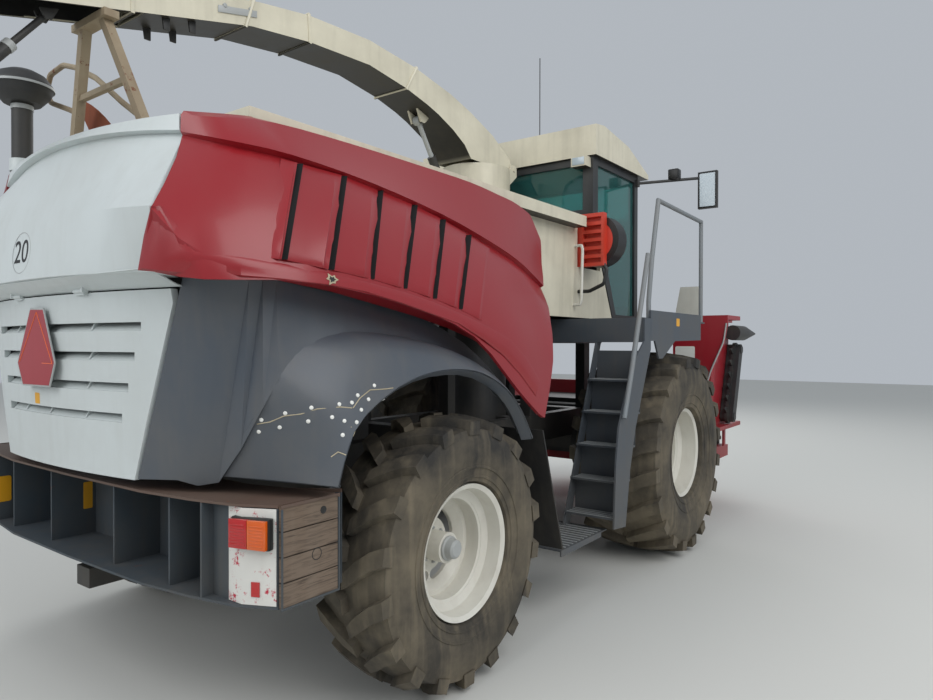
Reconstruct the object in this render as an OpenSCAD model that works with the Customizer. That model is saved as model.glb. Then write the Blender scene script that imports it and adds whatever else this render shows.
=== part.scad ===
/* [Overall] */
// Distance between the front and the rear axle
wheelbase = 2830; // [2700:10:3000]
// Rearmost point of the machine behind the rear axle, at the spout's end flap
rear_reach = 2000; // [1900:10:2200]
// Foremost point of the machine ahead of the rear axle, at the divider noses
front_reach = 5800; // [5700:10:6100]

/* [Front wheels] */
// Outside diameter of a front tyre, over the lugs
front_tyre_d = 1610; // [1560:10:1660]
// Width of a front tyre
front_tyre_w = 715; // [650:5:740]
// Diameter of the front rim's flange
front_rim_d = 711; // [690:1:740]
// Width over both front tyres
front_width = 3000; // [2950:10:3100]
// Lugs on each half of a front tyre
front_lugs = 20; // [16:1:24]
// Height of a front lug
front_lug_h = 48; // [35:1:55]

/* [Rear wheels] */
// Outside diameter of a rear tyre, over the lugs
rear_tyre_d = 1330; // [1280:10:1380]
// Width of a rear tyre
rear_tyre_w = 430; // [400:5:460]
// Diameter of the rear rim's flange
rear_rim_d = 660; // [640:1:680]
// Width over both rear tyres
rear_width = 2760; // [2700:10:2800]
// Lugs on each half of a rear tyre
rear_lugs = 18; // [14:1:22]
// Height of a rear lug
rear_lug_h = 40; // [30:1:48]
// Kingpin's distance from the centre plane
kingpin_y = 930; // [920:5:940]

/* [Frame] */
// Outer width of the two main rails
frame_w = 900; // [840:10:960]
// Height of a main rail
rail_h = 220; // [180:5:260]
// Underside of the main rails above the ground
rail_z = 880; // [860:5:900]
// Plate thickness of the fabricated steelwork
plate_t = 10; // [6:1:14]

/* [Rear beam] */
// Top of the rear beam above the ground
beam_top = 1084; // [1070:1:1095]
// Underside of the rear beam above the ground
beam_low = 702; // [690:1:720]
// Rear beam's half width at its end boards
beam_half = 1280; // [1240:5:1300]
// Rear edge of the rear beam behind the axle, on the centre plane
beam_rear = 1250; // [1230:5:1270]
// Rear edge of the rear beam behind the axle, at the end boards
beam_rear_end = 1080; // [1060:5:1100]
// Front edge of the end boards behind the axle
beam_front_end = 800; // [790:5:820]

/* [Hood] */
// Thickness of the moulded panels
panel_t = 18; // [12:1:24]
// Gap between neighbouring panels
panel_gap = 8; // [6:1:12]
// Half width of the hood's rim at the back
rim_half = 807; // [780:1:830]
// Half width of the hood at its crease
crease_half = 1027; // [1000:1:1050]
// Half width of the hood's lower edge
hood_low_half = 950; // [930:1:970]
// Half width of the side panels at their lip
lip_half = 1385; // [1360:5:1400]
// Height of the deck's edge
deck_z = 2640; // [2600:5:2680]
// Half width of the deck
deck_half = 950; // [900:5:980]

/* [Cab] */
// Half width of the cab over its side glass
cab_half = 850; // [800:5:880]
// Rear wall of the cab ahead of the rear axle
cab_rear_x = 2350; // [2340:5:2400]
// Front post of the cab ahead of the rear axle
cab_front_x = 3250; // [3200:5:3300]
// Top of the cab floor and of the platforms
floor_z = 1865; // [1850:5:1880]
// Underside of the cab roof
roof_z = 3180; // [3150:5:3200]
// Thickness of the cab's walls and posts
cab_wall = 60; // [50:1:70]
// Thickness of the cab's glass
glass_t = 8; // [6:1:10]

/* [Spout] */
// Turret's centre ahead of the rear axle
turret_x = 1930; // [1900:5:1940]
// Turret's outer radius
turret_r = 330; // [300:5:340]
// Half width of the spout at its root
spout_root_half = 165; // [150:1:175]
// Half width of the spout at its end
spout_end_half = 130; // [120:1:140]
// Wall thickness of the spout
spout_wall = 8; // [6:1:12]

/* [Header] */
// Half width of the header's fixed middle part
centre_half = 1100; // [1080:5:1110]
// Back wall of the header ahead of the rear axle
header_back = 3900; // [3880:5:3950]
// Underside of the header above the ground, lifted for the road
header_low = 450; // [420:5:480]
// Length of a folded wing
wing_len = 1150; // [1100:5:1180]
// Half width over the folded wings
wing_half = 1450; // [1440:5:1470]

/* [Hidden] */
eps = 0.01;
x_mid = (front_reach - rear_reach) / 2;
front_r = front_tyre_d / 2;
rear_r = rear_tyre_d / 2;
front_y = (front_width - front_tyre_w) / 2;
rear_y = (rear_width - rear_tyre_w) / 2;

white = "#d9dedb";
cream = "#e6e0cc";
red = "#a8202a";
grey = "#5a6068";
dark = "#24272a";
rim_white = "#e8e6dc";
rubber = "#1e1f20";
steel = "#6b6f73";

function lerp(a, b, t) = a + (b - a) * t;
function unit(v) = v / norm(v);
// A smooth curve through a list of points, or of rows of points, in k steps between neighbours
function between(a, b, c, d, t) =
    0.5 * (2 * b + (c - a) * t + (2 * a - 5 * b + 4 * c - d) * t * t + (3 * b - a - 3 * c + d) * t * t * t);
function smooth(p, k) = let (n = len(p)) concat(
    [for (i = [0 : n - 2], s = [0 : k - 1])
        between(p[max(i - 1, 0)], p[i], p[i + 1], p[min(i + 2, n - 1)], s / k)],
    [p[n - 1]]
);

// Everything is drawn with the rear axle at X = 0 and then moved to the middle
module placed() translate([-x_mid, 0, 0]) children();
module mirrored() { children(); mirror([0, 1, 0]) children(); }
// A shape whose outline lies in the X-Z plane, from y0 to y1
module side_extrude(y0, y1) translate([0, y1, 0]) rotate([90, 0, 0]) linear_extrude(y1 - y0) children();
// A round bar between two points
module bar(a, b, d) {
    v = b - a;
    translate(a) rotate([0, acos(v[2] / norm(v)), atan2(v[1], v[0])]) cylinder(d = d, h = norm(v), $fn = 24);
}
// A bent tube through a list of points in one upright plane, mitred at each bend
tube_sides = 12;
module tube(points, d) {
    n = len(points);
    // Ring i lies across the mean direction of its two neighbours
    rings = [for (i = [0 : n - 1])
        let (u = i > 0 ? unit(points[i] - points[i - 1]) : unit(points[1] - points[0]),
             w = i < n - 1 ? unit(points[i + 1] - points[i]) : unit(points[n - 1] - points[n - 2]),
             t = unit(u + w), e = cross([0, 1, 0], t), k = d / 2 / (u * t))
        [for (j = [0 : tube_sides - 1]) let (a = j * 360 / tube_sides)
            points[i] + k * cos(a) * e + d / 2 * sin(a) * cross(t, e)]];
    polyhedron(
        points = [for (r = rings) each r],
        faces = concat(
            [[for (j = [0 : tube_sides - 1]) j]],
            [for (i = [0 : n - 2]) for (j = [0 : tube_sides - 1]) let (k = (j + 1) % tube_sides)
                each [[i * tube_sides + j, (i + 1) * tube_sides + j, (i + 1) * tube_sides + k],
                      [i * tube_sides + j, (i + 1) * tube_sides + k, i * tube_sides + k]]],
            [[for (j = [tube_sides - 1 : -1 : 0]) (n - 1) * tube_sides + j]]
        )
    );
}
// A closed sheet between an outer and an inner grid of points
module sheet(outer, inner) {
    n = len(outer);
    m = len(outer[0]);
    function o(i, j) = i * m + j;
    function k(i, j) = n * m + i * m + j;
    function quad(a, b, c, d) = [[a, c, b], [a, d, c]];
    polyhedron(
        points = concat([for (r = outer) each r], [for (r = inner) each r]),
        faces = concat(
            [for (i = [0 : n - 2]) for (j = [0 : m - 2])
                each quad(o(i, j), o(i + 1, j), o(i + 1, j + 1), o(i, j + 1))],
            [for (i = [0 : n - 2]) for (j = [0 : m - 2])
                each quad(k(i, j), k(i, j + 1), k(i + 1, j + 1), k(i + 1, j))],
            [for (i = [0 : n - 2]) each quad(o(i, 0), k(i, 0), k(i + 1, 0), o(i + 1, 0))],
            [for (i = [0 : n - 2]) each quad(o(i, m - 1), o(i + 1, m - 1), k(i + 1, m - 1), k(i, m - 1))],
            [for (j = [0 : m - 2]) each quad(o(0, j), o(0, j + 1), k(0, j + 1), k(0, j))],
            [for (j = [0 : m - 2]) each quad(o(n - 1, j), k(n - 1, j), k(n - 1, j + 1), o(n - 1, j + 1))]
        ),
        convexity = 6
    );
}
// The same grid of points, moved toward a spine point by the panel's thickness
function inward(grid, spine, t) = [for (r = grid) [for (p = r) p + t * unit([spine[0], spine[1], p[2]] - p)]];

// Tyres
// One lug as a bar that bends round the tread: columns are share of the half width, turn in degrees
lug_path = [[0.02, 0], [0.36, -5], [0.7, -9.5], [1.0, -12]];
// Turn of the wheel that a lug is long, in degrees
lug_turn = 7;
module lug(r_top, half_w, h, len_ang, crown) {
    rows = [for (s = lug_path)
        let (y = s[0] * half_w, wa = len_ang * (s[0] < 0.1 ? 0.8 : 1), c = s[1],
             rt = r_top / cos(wa / 2) - crown * s[0] * s[0], rb = rt - h - 25)
        [for (q = [[rb, c - wa * 0.62], [rt, c - wa / 2], [rt, c + wa / 2], [rb, c + wa * 0.62]])
            [q[0] * cos(q[1]), y, q[0] * sin(q[1])]]];
    n = len(rows);
    polyhedron(
        points = [for (r = rows) each r],
        faces = concat(
            [[3, 2, 1, 0]],
            [for (i = [0 : n - 2]) for (j = [0 : 3]) let (k = (j + 1) % 4)
                each [[i * 4 + j, i * 4 + 4 + k, i * 4 + 4 + j], [i * 4 + j, i * 4 + k, i * 4 + 4 + k]]],
            [[(n - 1) * 4, (n - 1) * 4 + 1, (n - 1) * 4 + 2, (n - 1) * 4 + 3]]
        )
    );
}
module tyre(d, w, rim_d, lugs, h, crown) {
    r = d / 2 - h;
    bead = rim_d / 2;
    rotate([90, 0, 0]) rotate_extrude($fn = 72) polygon([
        [bead - 12, -w * 0.36], [bead + 3, -w * 0.36], [bead + 14, -w * 0.44], [lerp(bead, r, 0.45), -w * 0.5],
        [lerp(bead, r, 0.72), -w * 0.49], [r - crown, -w * 0.45], [r - crown * 0.2, -w * 0.22],
        [r, 0], [r - crown * 0.2, w * 0.22], [r - crown, w * 0.45],
        [lerp(bead, r, 0.72), w * 0.49], [lerp(bead, r, 0.45), w * 0.5],
        [bead + 14, w * 0.44], [bead + 3, w * 0.36], [bead - 12, w * 0.36]
    ]);
    for (side = [1, -1], i = [0 : lugs - 1])
        rotate([0, (i + (side > 0 ? 0 : 0.5)) * 360 / lugs, 0])
            mirror([0, side > 0 ? 0 : 1, 0]) lug(d / 2, w * 0.485, h, lug_turn, crown);
}
module front_tyre_left() placed() color(rubber) translate([wheelbase, front_y, front_r])
    tyre(front_tyre_d, front_tyre_w, front_rim_d, front_lugs, front_lug_h, 42);
module front_tyre_right() placed() color(rubber) translate([wheelbase, -front_y, front_r])
    mirror([0, 1, 0]) tyre(front_tyre_d, front_tyre_w, front_rim_d, front_lugs, front_lug_h, 42);
module rear_tyre_left() placed() color(rubber) translate([0, rear_y, rear_r])
    tyre(rear_tyre_d, rear_tyre_w, rear_rim_d, rear_lugs, rear_lug_h, 30);
module rear_tyre_right() placed() color(rubber) translate([0, -rear_y, rear_r])
    mirror([0, 1, 0]) tyre(rear_tyre_d, rear_tyre_w, rear_rim_d, rear_lugs, rear_lug_h, 30);

// Wheels, drawn with the axle along Y and the outer face toward +Y
rim_clear = 0.5;
rim_wall = 12;
front_hub_d = 300;
rear_hub_d = 190;
hub_back = 20;
seat_gap = 0.3;
front_disc_y = -60;
rear_disc_y = -70;
module rim(rim_d, w, disc_y, seat_y, hub_d) {
    bead = rim_d / 2 - 12 - rim_clear;
    f = w * 0.36;
    rotate([90, 0, 0]) rotate_extrude($fn = 72) polygon([
        [bead + 12, -f - 24], [bead + 12, -f - 1], [bead, -f - 1], [bead - 10, -f * 0.62],
        [bead - 60, -f * 0.5], [bead - 60, f * 0.3], [bead - 10, f * 0.5], [bead, f + 1],
        [bead + 12, f + 1], [bead + 12, f + 24], [bead - rim_wall, f + 12],
        [bead - 10 - rim_wall, f * 0.48], [bead - 60 - rim_wall, f * 0.24],
        [bead - 60 - rim_wall, -f * 0.45], [bead - 10 - rim_wall, -f * 0.6], [bead - rim_wall, -f - 12]
    ]);
    rotate([90, 0, 0]) rotate_extrude($fn = 72) polygon([
        [hub_d / 2, -disc_y + 8], [bead - 126, -disc_y + 8], [bead - 88, -seat_y + 18], [bead - 66, -seat_y + 18],
        [bead - 66, -seat_y], [bead - 98, -seat_y], [bead - 134, -disc_y - 8], [hub_d / 2, -disc_y - 8]
    ]);
}
module front_wheel() {
    difference() {
        rim(front_rim_d, front_tyre_w, front_disc_y, -30, front_hub_d);
        for (i = [0 : 7]) rotate([0, i * 45, 0]) translate([200, 60, 0]) rotate([90, 0, 0]) cylinder(d = 44, h = 220, center = true);
    }
    // Hub with its recessed cap
    translate([0, front_disc_y - hub_back, 0]) rotate([-90, 0, 0]) difference() {
        cylinder(d = front_hub_d + 4, h = 60);
        translate([0, 0, 40]) cylinder(d = 180, h = 40);
    }
}
module rear_wheel() {
    difference() {
        rim(rear_rim_d, rear_tyre_w, rear_disc_y, -10, rear_hub_d);
        for (i = [0 : 3]) rotate([0, 45 + i * 90, 0]) kidney(162, 26, 34);
    }
    // Hub barrel with its end cap
    translate([0, rear_disc_y, 0]) rotate([-90, 0, 0]) difference() {
        union() {
            translate([0, 0, -30]) cylinder(d = rear_hub_d + 4, h = 60);
            cylinder(d = 150, h = 130);
            translate([0, 0, 130]) cylinder(d1 = 110, d2 = 84, h = 50);
        }
        translate([0, 0, -31]) cylinder(d = spindle_d + 2 * seat_gap, h = 90);
    }
}
// A bent slot through a disc: centre line radius, half width, half angle
module kidney(r, half_w, half_ang) rotate([90, 0, 0]) translate([0, 0, -120]) linear_extrude(240) {
    polygon([
        for (i = [0 : 6]) let (a = lerp(-half_ang, half_ang, i / 6)) [(r + half_w) * cos(a), (r + half_w) * sin(a)],
        for (i = [6 : -1 : 0]) let (a = lerp(-half_ang, half_ang, i / 6)) [(r - half_w) * cos(a), (r - half_w) * sin(a)]
    ]);
    for (s = [-1, 1]) rotate(s * half_ang) translate([r, 0]) circle(half_w, $fn = 24);
}
module front_wheel_left() placed() color(rim_white) translate([wheelbase, front_y, front_r]) front_wheel();
module front_wheel_right() placed() color(rim_white) translate([wheelbase, -front_y, front_r]) mirror([0, 1, 0]) front_wheel();
module rear_wheel_left() placed() color(rim_white) translate([0, rear_y, rear_r]) rear_wheel();
module rear_wheel_right() placed() color(rim_white) translate([0, -rear_y, rear_r]) mirror([0, 1, 0]) rear_wheel();

// Axles and steering
spindle_d = 90;
kingpin_d = 50;
module front_axle() placed() color(dark) {
    // Beam under the frame, with a final drive housing and hub flange at each end
    translate([wheelbase - 120, -560, front_r - 40]) cube([220, 1120, rail_z - front_r + 40 - eps]);
    mirrored() {
        translate([wheelbase, 540, front_r]) rotate([-90, 0, 0]) cylinder(d = 520, h = 190);
        translate([wheelbase, 729, front_r]) rotate([-90, 0, 0]) cylinder(d = 296, h = front_y + front_disc_y - hub_back - seat_gap - 729);
    }
}
module rear_axle() placed() color(dark) {
    difference() {
        union() {
            translate([-75, -700, rear_r - 80]) cube([150, 1400, 160]);
            mirrored() translate([0, kingpin_y, rear_r - 75]) cylinder(d = 110, h = 150);
            mirrored() translate([-50, 690, rear_r - 75]) cube([100, kingpin_y - 690, 150]);
        }
        mirrored() translate([0, kingpin_y, rear_r - 90]) cylinder(d = kingpin_d + 2 * seat_gap, h = 180);
    }
    // Pivot bracket up to the frame
    translate([-110, -130, rear_r + 79]) cube([220, 260, rail_z - rear_r - 59]);
}
module knuckle() color(steel) {
    // Yoke over the axle's end, kingpin and wheel spindle
    for (s = [-1, 1]) translate([0, kingpin_y, rear_r + (s > 0 ? 75 + seat_gap : -105 - seat_gap)]) {
        cylinder(d = 110, h = 30);
        translate([-50, 0, 0]) cube([100, 100, 30]);
    }
    translate([0, kingpin_y, rear_r - 105 - seat_gap]) cylinder(d = kingpin_d, h = 210 + 2 * seat_gap);
    translate([-50, kingpin_y + 66, rear_r - 105 - seat_gap]) cube([100, 40, 210 + 2 * seat_gap]);
    translate([0, kingpin_y + 105, rear_r]) rotate([-90, 0, 0])
        cylinder(d = spindle_d, h = rear_y + rear_disc_y - kingpin_y - 105 + 55);
}
module knuckle_left() placed() knuckle();
module knuckle_right() placed() mirror([0, 1, 0]) knuckle();

// Frame
hitch_pin_d = 32;
// Front face of a mud flap at a height
flap_top = 1190;
flap_low = 460;
function flap_x(z) = lerp(700, 935, (flap_top - z) / (flap_top - flap_low));
module chassis() placed() color(dark) {
    mirrored() {
        translate([-900, frame_w / 2 - 90, rail_z]) cube([3930, 90, rail_h]);
        // Ears that carry the intake housing
        side_extrude(feeder_half + 10, frame_w / 2) difference() {
            polygon([[3000, rail_z], [3140, rail_z], [3250, 1000], [3250, 1160], [3060, 1160], [3000, rail_z + rail_h]]);
            translate(feeder_pivot) circle(d = pivot_d + 2 * seat_gap, $fn = 48);
        }
        // Posts that carry the platform and the cab
        for (x = [2050, 3000]) translate([x, frame_w / 2 - 90, rail_z + rail_h - eps]) cube([100, 90, floor_z - floor_h - rail_z - rail_h]);
        // Posts that carry the deck
        for (x = [-700, 1000]) translate([x, frame_w / 2 - 90, rail_z + rail_h - eps]) cube([80, 80, deck_z - deck_t - rail_z - rail_h]);
    }
    for (x = [-900, -420, -60, 150, 900, 1870, 2350, 2900]) translate([x, -frame_w / 2 + 1, rail_z + 20]) cube([120, frame_w - 2, rail_h - 20]);
    mirrored() {
        // Pins that carry the header rams
        side_extrude(420, 450) polygon([[2940, rail_z + 10], [3060, rail_z + 10], [3030, 800], [2970, 800]]);
        translate([header_ram_a[0], 440, header_ram_a[2]]) rotate([-90, 0, 0]) cylinder(d = ram_pin_d, h = 90, $fn = 48);
        // Outrigger that carries the mud flap
        side_extrude(frame_w / 2 - 20, 1280)
            polygon([[flap_x(1090), 1090], [flap_x(1040), 1040], [800, 1040], [800, 1090]]);
    }
    // Blower housing and duct up to the turret
    translate([turret_x, 0, rail_z + 40]) cylinder(r = 250, h = deck_z - deck_t - rail_z - 40);
    // Drawbar fork under the rear beam
    difference() {
        translate([-1180, -60, rail_z - 330]) cube([420, 120, 90]);
        translate([-1130, 0, rail_z - 340]) cylinder(d = hitch_pin_d, h = 110, $fn = 48);
    }
    translate([-900, -60, rail_z - 330]) cube([120, 120, 380]);
}
module engine() placed() color(steel) translate([-560, -frame_w / 2 + 110, rail_z + rail_h]) cube([900, frame_w - 220, 900]);

// Rear beam: a bent channel with ribs, closed at each end by boards
beam_plan = [
    [-beam_rear, 0], [-beam_rear + 10, 620], [-beam_rear + 45, 900], [-beam_rear + 90, 1120],
    [-beam_rear_end, beam_half]
];
module beam_outline() polygon(concat(
    [for (p = beam_plan) p], [[-beam_front_end, beam_half], [-900, 860], [-900, 0]]
));
module rear_beam() placed() color("#46525c") {
    mirrored() {
        translate([0, 0, beam_top - plate_t]) linear_extrude(plate_t) beam_outline();
        translate([0, 0, beam_low]) linear_extrude(plate_t) beam_outline();
        // Web, set in from the rear edge
        translate([-980, 0, beam_low]) cube([30, 860, beam_top - beam_low]);
        translate([-980, 859, beam_low]) rotate([0, 0, 57]) cube([460, 12, beam_top - beam_low]);
        for (y = [300, 740, 960]) translate([-1190, y, beam_low]) cube([215, plate_t, beam_top - beam_low]);
        // End plate behind the boards
        translate([-beam_rear_end, beam_half - 12, beam_low]) cube([beam_rear_end - beam_front_end, 12, beam_top - beam_low]);
        // Plate that carries the tail lamp
        translate([-1140, 966, beam_low]) cube([12, 184, beam_top - beam_low]);
    }
    translate([-900 - 60, -300, beam_low]) cube([60, 600, beam_top - beam_low]);
}
module beam_boards() placed() color("#6b5646") mirrored()
    for (i = [0 : 3]) translate([-beam_rear_end + 5, beam_half + 0.3, beam_low + 5 + i * 94])
        cube([beam_rear_end - beam_front_end - 10, 20, 90]);
module tail_lamps() placed() color("#c23a20") mirrored()
    translate([-1170, 985, 900]) cube([30, 150, 90]);

// Hood, drawn by its curves: each column is x0, bow of x, z0, crown of z, half width
function curve_point(c, s) = let (y = s * c[4]) [c[0] + c[1] * y * y, y, c[2] - c[3] * y * y];
hood_columns = [
    [-986, 0, 2640, 0.00006, deck_half - 6],
    [-1254, 0.000112, 2605, 0.000043, rim_half],
    [-1295, 0.000157, 2561, 0.000079, rim_half + 13],
    [-1262, 0.000150, 2553, 0.000079, rim_half + 10],
    [-1386, -0.000036, 2207, 0.000053, crease_half],
    [-1412, 0.000053, 1953, 0.000023, hood_low_half],
    [-1330, 0.000090, 1925, 0.0, hood_low_half - 50]
];
pad_z = 2652;
rest_x = -1060;
rest_y = 330;
stack_x = -1130;
stack_y = 780;
stem_d = 100;
stem_h = 300;
module rear_hood() placed() color(white) {
    mirrored() {
        // Lugs beside the grille's hinge barrels
        side_extrude(hinge_in + 80 + seat_gap, hinge_in + 92 + seat_gap)
            polygon([[-1345, 1886], [-1319, 1886], [-1319, 1940], [-1345, 1945]]);
        // Stay to the deck's post
        translate([-1390, 380, 2080]) cube([690, 40, 40]);
    }
    // Pads that carry the spout rest and the air intake
    mirrored() translate([rest_x, rest_y, 2600]) cylinder(d = 90, h = pad_z - 2600);
    translate([stack_x, stack_y, 2588]) cylinder(d = stem_d + 20, h = pad_z - 2588);
    grid = [for (i = [-8 : 8]) [for (c = hood_columns) curve_point(c, i / 8)]];
    sheet(grid, [for (r = grid) [for (j = [0 : len(hood_columns) - 1]) r[j] + (j < 2 ? [panel_t, 0, -panel_t] : [panel_t, 0, 0])]]);
}
grille_columns = [
    [-1330, 0.00012, 1885, 0, 850],
    [-1327, 0.00012, 1830, 0, 858],
    [-1310, 0.00012, 1360, 0, 690],
    [-1300, 0.00012, 1125, 0, 606]
];
grille_t = 28;
grille_hinge = [-1332, 1893];
hinge_in = 265;
louvre_z = [1760, 1640, 1515, 1390];
module grille_door() placed() color(white) {
    grid = [for (i = [-6 : 6]) [for (c = grille_columns) curve_point(c, i / 6)]];
    difference() {
        sheet(grid, [for (r = grid) [for (p = r) p + [grille_t, 0, 0]]]);
        for (i = [0 : 3]) let (h = 680 - i * 45) translate([-1400, -h, louvre_z[i] - 36]) cube([200, 2 * h, 36]);
    }
    // Hinge barrels on the top edge
    mirrored() {
        translate([grille_hinge[0], hinge_in, grille_hinge[1]]) rotate([-90, 0, 0]) cylinder(d = 18, h = 80, $fn = 24);
        translate([grille_hinge[0], hinge_in, 1877]) cube([30, 80, 12]);
    }
}
module warning_board() placed() color("#b0202c") translate([-1350, 60, 0]) rotate([90, 0, 90]) {
    linear_extrude(8) polygon([[-30, 1850], [30, 1850], [95, 1570], [70, 1480], [-70, 1480], [-95, 1570]]);
    for (x = [-18, 18]) translate([x, 1820, 7]) cylinder(d = 16, h = 16.1, $fn = 16);
}

// Side panels: each row is one section from the hinge edge and the brow down to the lip
flange_y = deck_half + panel_gap;
side_curves = [
    [[-1172, 824, 2586], [-1181, 819, 2570], [-1189, 830, 2500], [-1180, 828, 2488], [-1424, 1037, 2143], [-1366, 960, 1930]],
    [[-990, flange_y, 2590], [-1090, 990, 2548], [-1125, 1060, 2440], [-1112, 1040, 2425], [-1330, 1200, 1985], [-1330, 1200, 1895]],
    [[-900, flange_y, 2592], [-900, 1040, 2568], [-920, 1165, 2415], [-912, 1140, 2400], [-1000, 1345, 1965], [-1000, 1360, 1900]],
    [[-500, flange_y, 2592], [-500, 1055, 2575], [-500, 1180, 2385], [-500, 1155, 2370], [-500, 1370, 1895], [-500, lip_half, 1840]],
    [[0, flange_y, 2592], [0, 1060, 2575], [0, 1185, 2320], [0, 1160, 2305], [0, 1375, 1805], [0, lip_half, 1710]],
    [[400, flange_y, 2590], [400, 1060, 2572], [400, 1185, 2240], [400, 1160, 2225], [400, 1375, 1690], [400, lip_half, 1430]],
    [[700, flange_y, 2580], [700, 1050, 2555], [700, 1180, 2165], [700, 1158, 2150], [700, 1360, 1560], [700, lip_half - 5, 1250]],
    [[950, flange_y, 2565], [950, 1035, 2535], [950, 1160, 2080], [950, 1140, 2065], [950, 1330, 1600], [950, 1360, 1250]],
    [[1300, flange_y, 2500], [1300, 1000, 2460], [1300, 1090, 1980], [1300, 1075, 1970], [1300, 1250, 1600], [1300, 1280, 1250]]
];
// Smoothed along the panel, with two more points on the bulge between the brow and the belly
bulge = 26;
side_rows = [for (r = smooth(side_curves, 3)) [
    r[0], r[1], r[2], r[3],
    lerp(r[3], r[4], 0.34) + [0, bulge, 0], lerp(r[3], r[4], 0.7) + [0, bulge * 0.8, 0],
    r[4], r[5]
]];
// The panel's inner face: the first row follows the hood's edge, the hinge edge goes straight down
side_inner = [for (i = [0 : len(side_rows) - 1]) [for (j = [0 : 7]) let (p = side_rows[i][j])
    i == 0 ? p + [panel_t, 0, j == 0 ? -panel_t : 0]
    : j == 0 ? p - [0, 0, panel_t]
    : p + panel_t * unit([0, 0, p[2]] + [0, 0, j == 1 ? -500 : 0] - p)]];
// Slots: columns are top x, top z, bottom x, bottom z
side_slots = [
    [-900, 2360, -1090, 2000], [-670, 2355, -860, 1985], [-440, 2330, -650, 1965],
    [-220, 2300, -440, 1935], [0, 2270, -250, 1900], [215, 2230, -60, 1860]
];
// The hinge barrels on the upper edge lie against the deck
module side_panel() color(red) {
    side_skin();
    for (x = [-700, -100, 360]) translate([x, flange_y, 2592]) rotate([0, 90, 0]) cylinder(r = panel_gap - seat_gap, h = 90, $fn = 16);
}
module side_skin() intersection() {
    difference() {
        sheet(side_rows, side_inner);
        for (s = side_slots) side_extrude(1000, 1500)
            polygon([[s[0] - 22, s[1]], [s[0] + 22, s[1]], [s[2] + 14, s[3]], [s[2] - 14, s[3]]]);
    }
    // Outline of the front edge
    side_extrude(700, 1500) polygon([
        [-1500, 1800], [600, 1260], [680, 1265], [770, 1440], [930, 1800], [1120, 2100], [1220, 2350],
        [1130, 2480], [1000, 2600], [-1500, 2700]
    ]);
}
module side_panel_left() placed() side_panel();
module side_panel_right() placed() mirror([0, 1, 0]) side_panel();

// Lower side panels with their wheel arches: each row is top, foot
wall_rows = smooth([
    [[-1231, 912, 1925], [-1250, 622, 1130]],
    [[-1180, 1072, 1925], [-1180, 790, 1135]],
    [[-1100, 1140, 1925], [-1090, 930, 1128]],
    [[-1000, 1172, 1920], [-1075, 1190, 1438]],
    [[-850, 1175, 1900], [-960, 1220, 1608]],
    [[-650, 1180, 1880], [-740, 1242, 1693]],
    [[-420, 1180, 1850], [-450, 1252, 1693]],
    [[-150, 1180, 1800], [-150, 1252, 1645]],
    [[180, 1185, 1680], [180, 1252, 1530]],
    [[440, 1190, 1520], [440, 1262, 1361]],
    [[560, 1200, 1400], [560, 1277, 1207]]
], 2);
// Arches: each row is crease, outer edge, inner edge of the return
arch_rows = smooth([
    [[-1080, 920, 1150], [-880, 1385, 1130], [-860, 1350, 1130]],
    [[-1065, 1180, 1460], [-800, 1385, 1330], [-780, 1350, 1310]],
    [[-950, 1210, 1630], [-640, 1385, 1450], [-625, 1350, 1430]],
    [[-735, 1230, 1715], [-420, 1385, 1530], [-415, 1350, 1508]],
    [[-450, 1240, 1712], [-180, 1385, 1555], [-180, 1350, 1532]],
    [[-150, 1240, 1665], [60, 1385, 1530], [55, 1350, 1508]],
    [[180, 1240, 1550], [280, 1385, 1440], [270, 1350, 1420]],
    [[440, 1250, 1380], [430, 1385, 1310], [415, 1350, 1295]],
    [[600, 1270, 1175], [530, 1385, 1160], [510, 1350, 1155]]
], 2);
module lower_panels() placed() color(grey) mirrored() {
    sheet(wall_rows, inward(wall_rows, [0, 0], panel_t));
    sheet(arch_rows, inward(arch_rows, [-200, 900], panel_t));
    // Stay to the deck's post
    translate([-690, frame_w / 2 - 10, 1735]) cube([50, 752, 40]);
}
flap_t = 12;
module mud_flaps() placed() color(rubber) mirrored()
    side_extrude(1000, 1360) polygon([
        [flap_x(flap_top) - flap_t, flap_top], [flap_x(flap_top) - seat_gap, flap_top],
        [flap_x(flap_low) - seat_gap, flap_low], [flap_x(flap_low) - flap_t, flap_low]
    ]);

// Deck behind the cab, with its side walls
deck_t = 80;
deck_front = 2300;
wall_half = cab_half;
module deck() placed() color(cream) {
    difference() {
        union() {
            translate([-960, -deck_half, deck_z - deck_t]) cube([3000, 2 * deck_half, deck_t]);
            translate([2000, -wall_half, deck_z - deck_t]) cube([deck_front - 2000, 2 * wall_half, deck_t]);
            mirrored() side_extrude(wall_half - 30, wall_half)
                polygon([[1260, floor_z + 15], [2715, floor_z + 15], [2440, 2440], [deck_front, 2560], [1260, 2561]]);
        }
        translate([turret_x, 0, 2500]) cylinder(r = turret_r - 40, h = 300);
        // Recess for the condenser
        translate([2085, -1000, 2270]) cube([400, 250, 500]);
    }
}

// Platform each side of the cab, and the cab floor
module platform() placed() color(grey) {
    mirrored() {
        translate([1950, 499, floor_z - 12]) cube([1350, ladder_out - ladder_t - 499, 12]);
        translate([1950, 499, 1690]) cube([12, ladder_out - ladder_t - 499, floor_z - 1691]);
        side_extrude(ladder_out - ladder_t - 1, ladder_out)
            polygon([[2062, 1700], [2140, 1700], [2220, 1570], [2290, 1570], [2550, 1700], [3160, 1710], [3160, 1920], [2062, 1920]]);
    }
    translate([2200, -500, floor_z - floor_h]) cube([1050, 1000, floor_h]);
}

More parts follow.
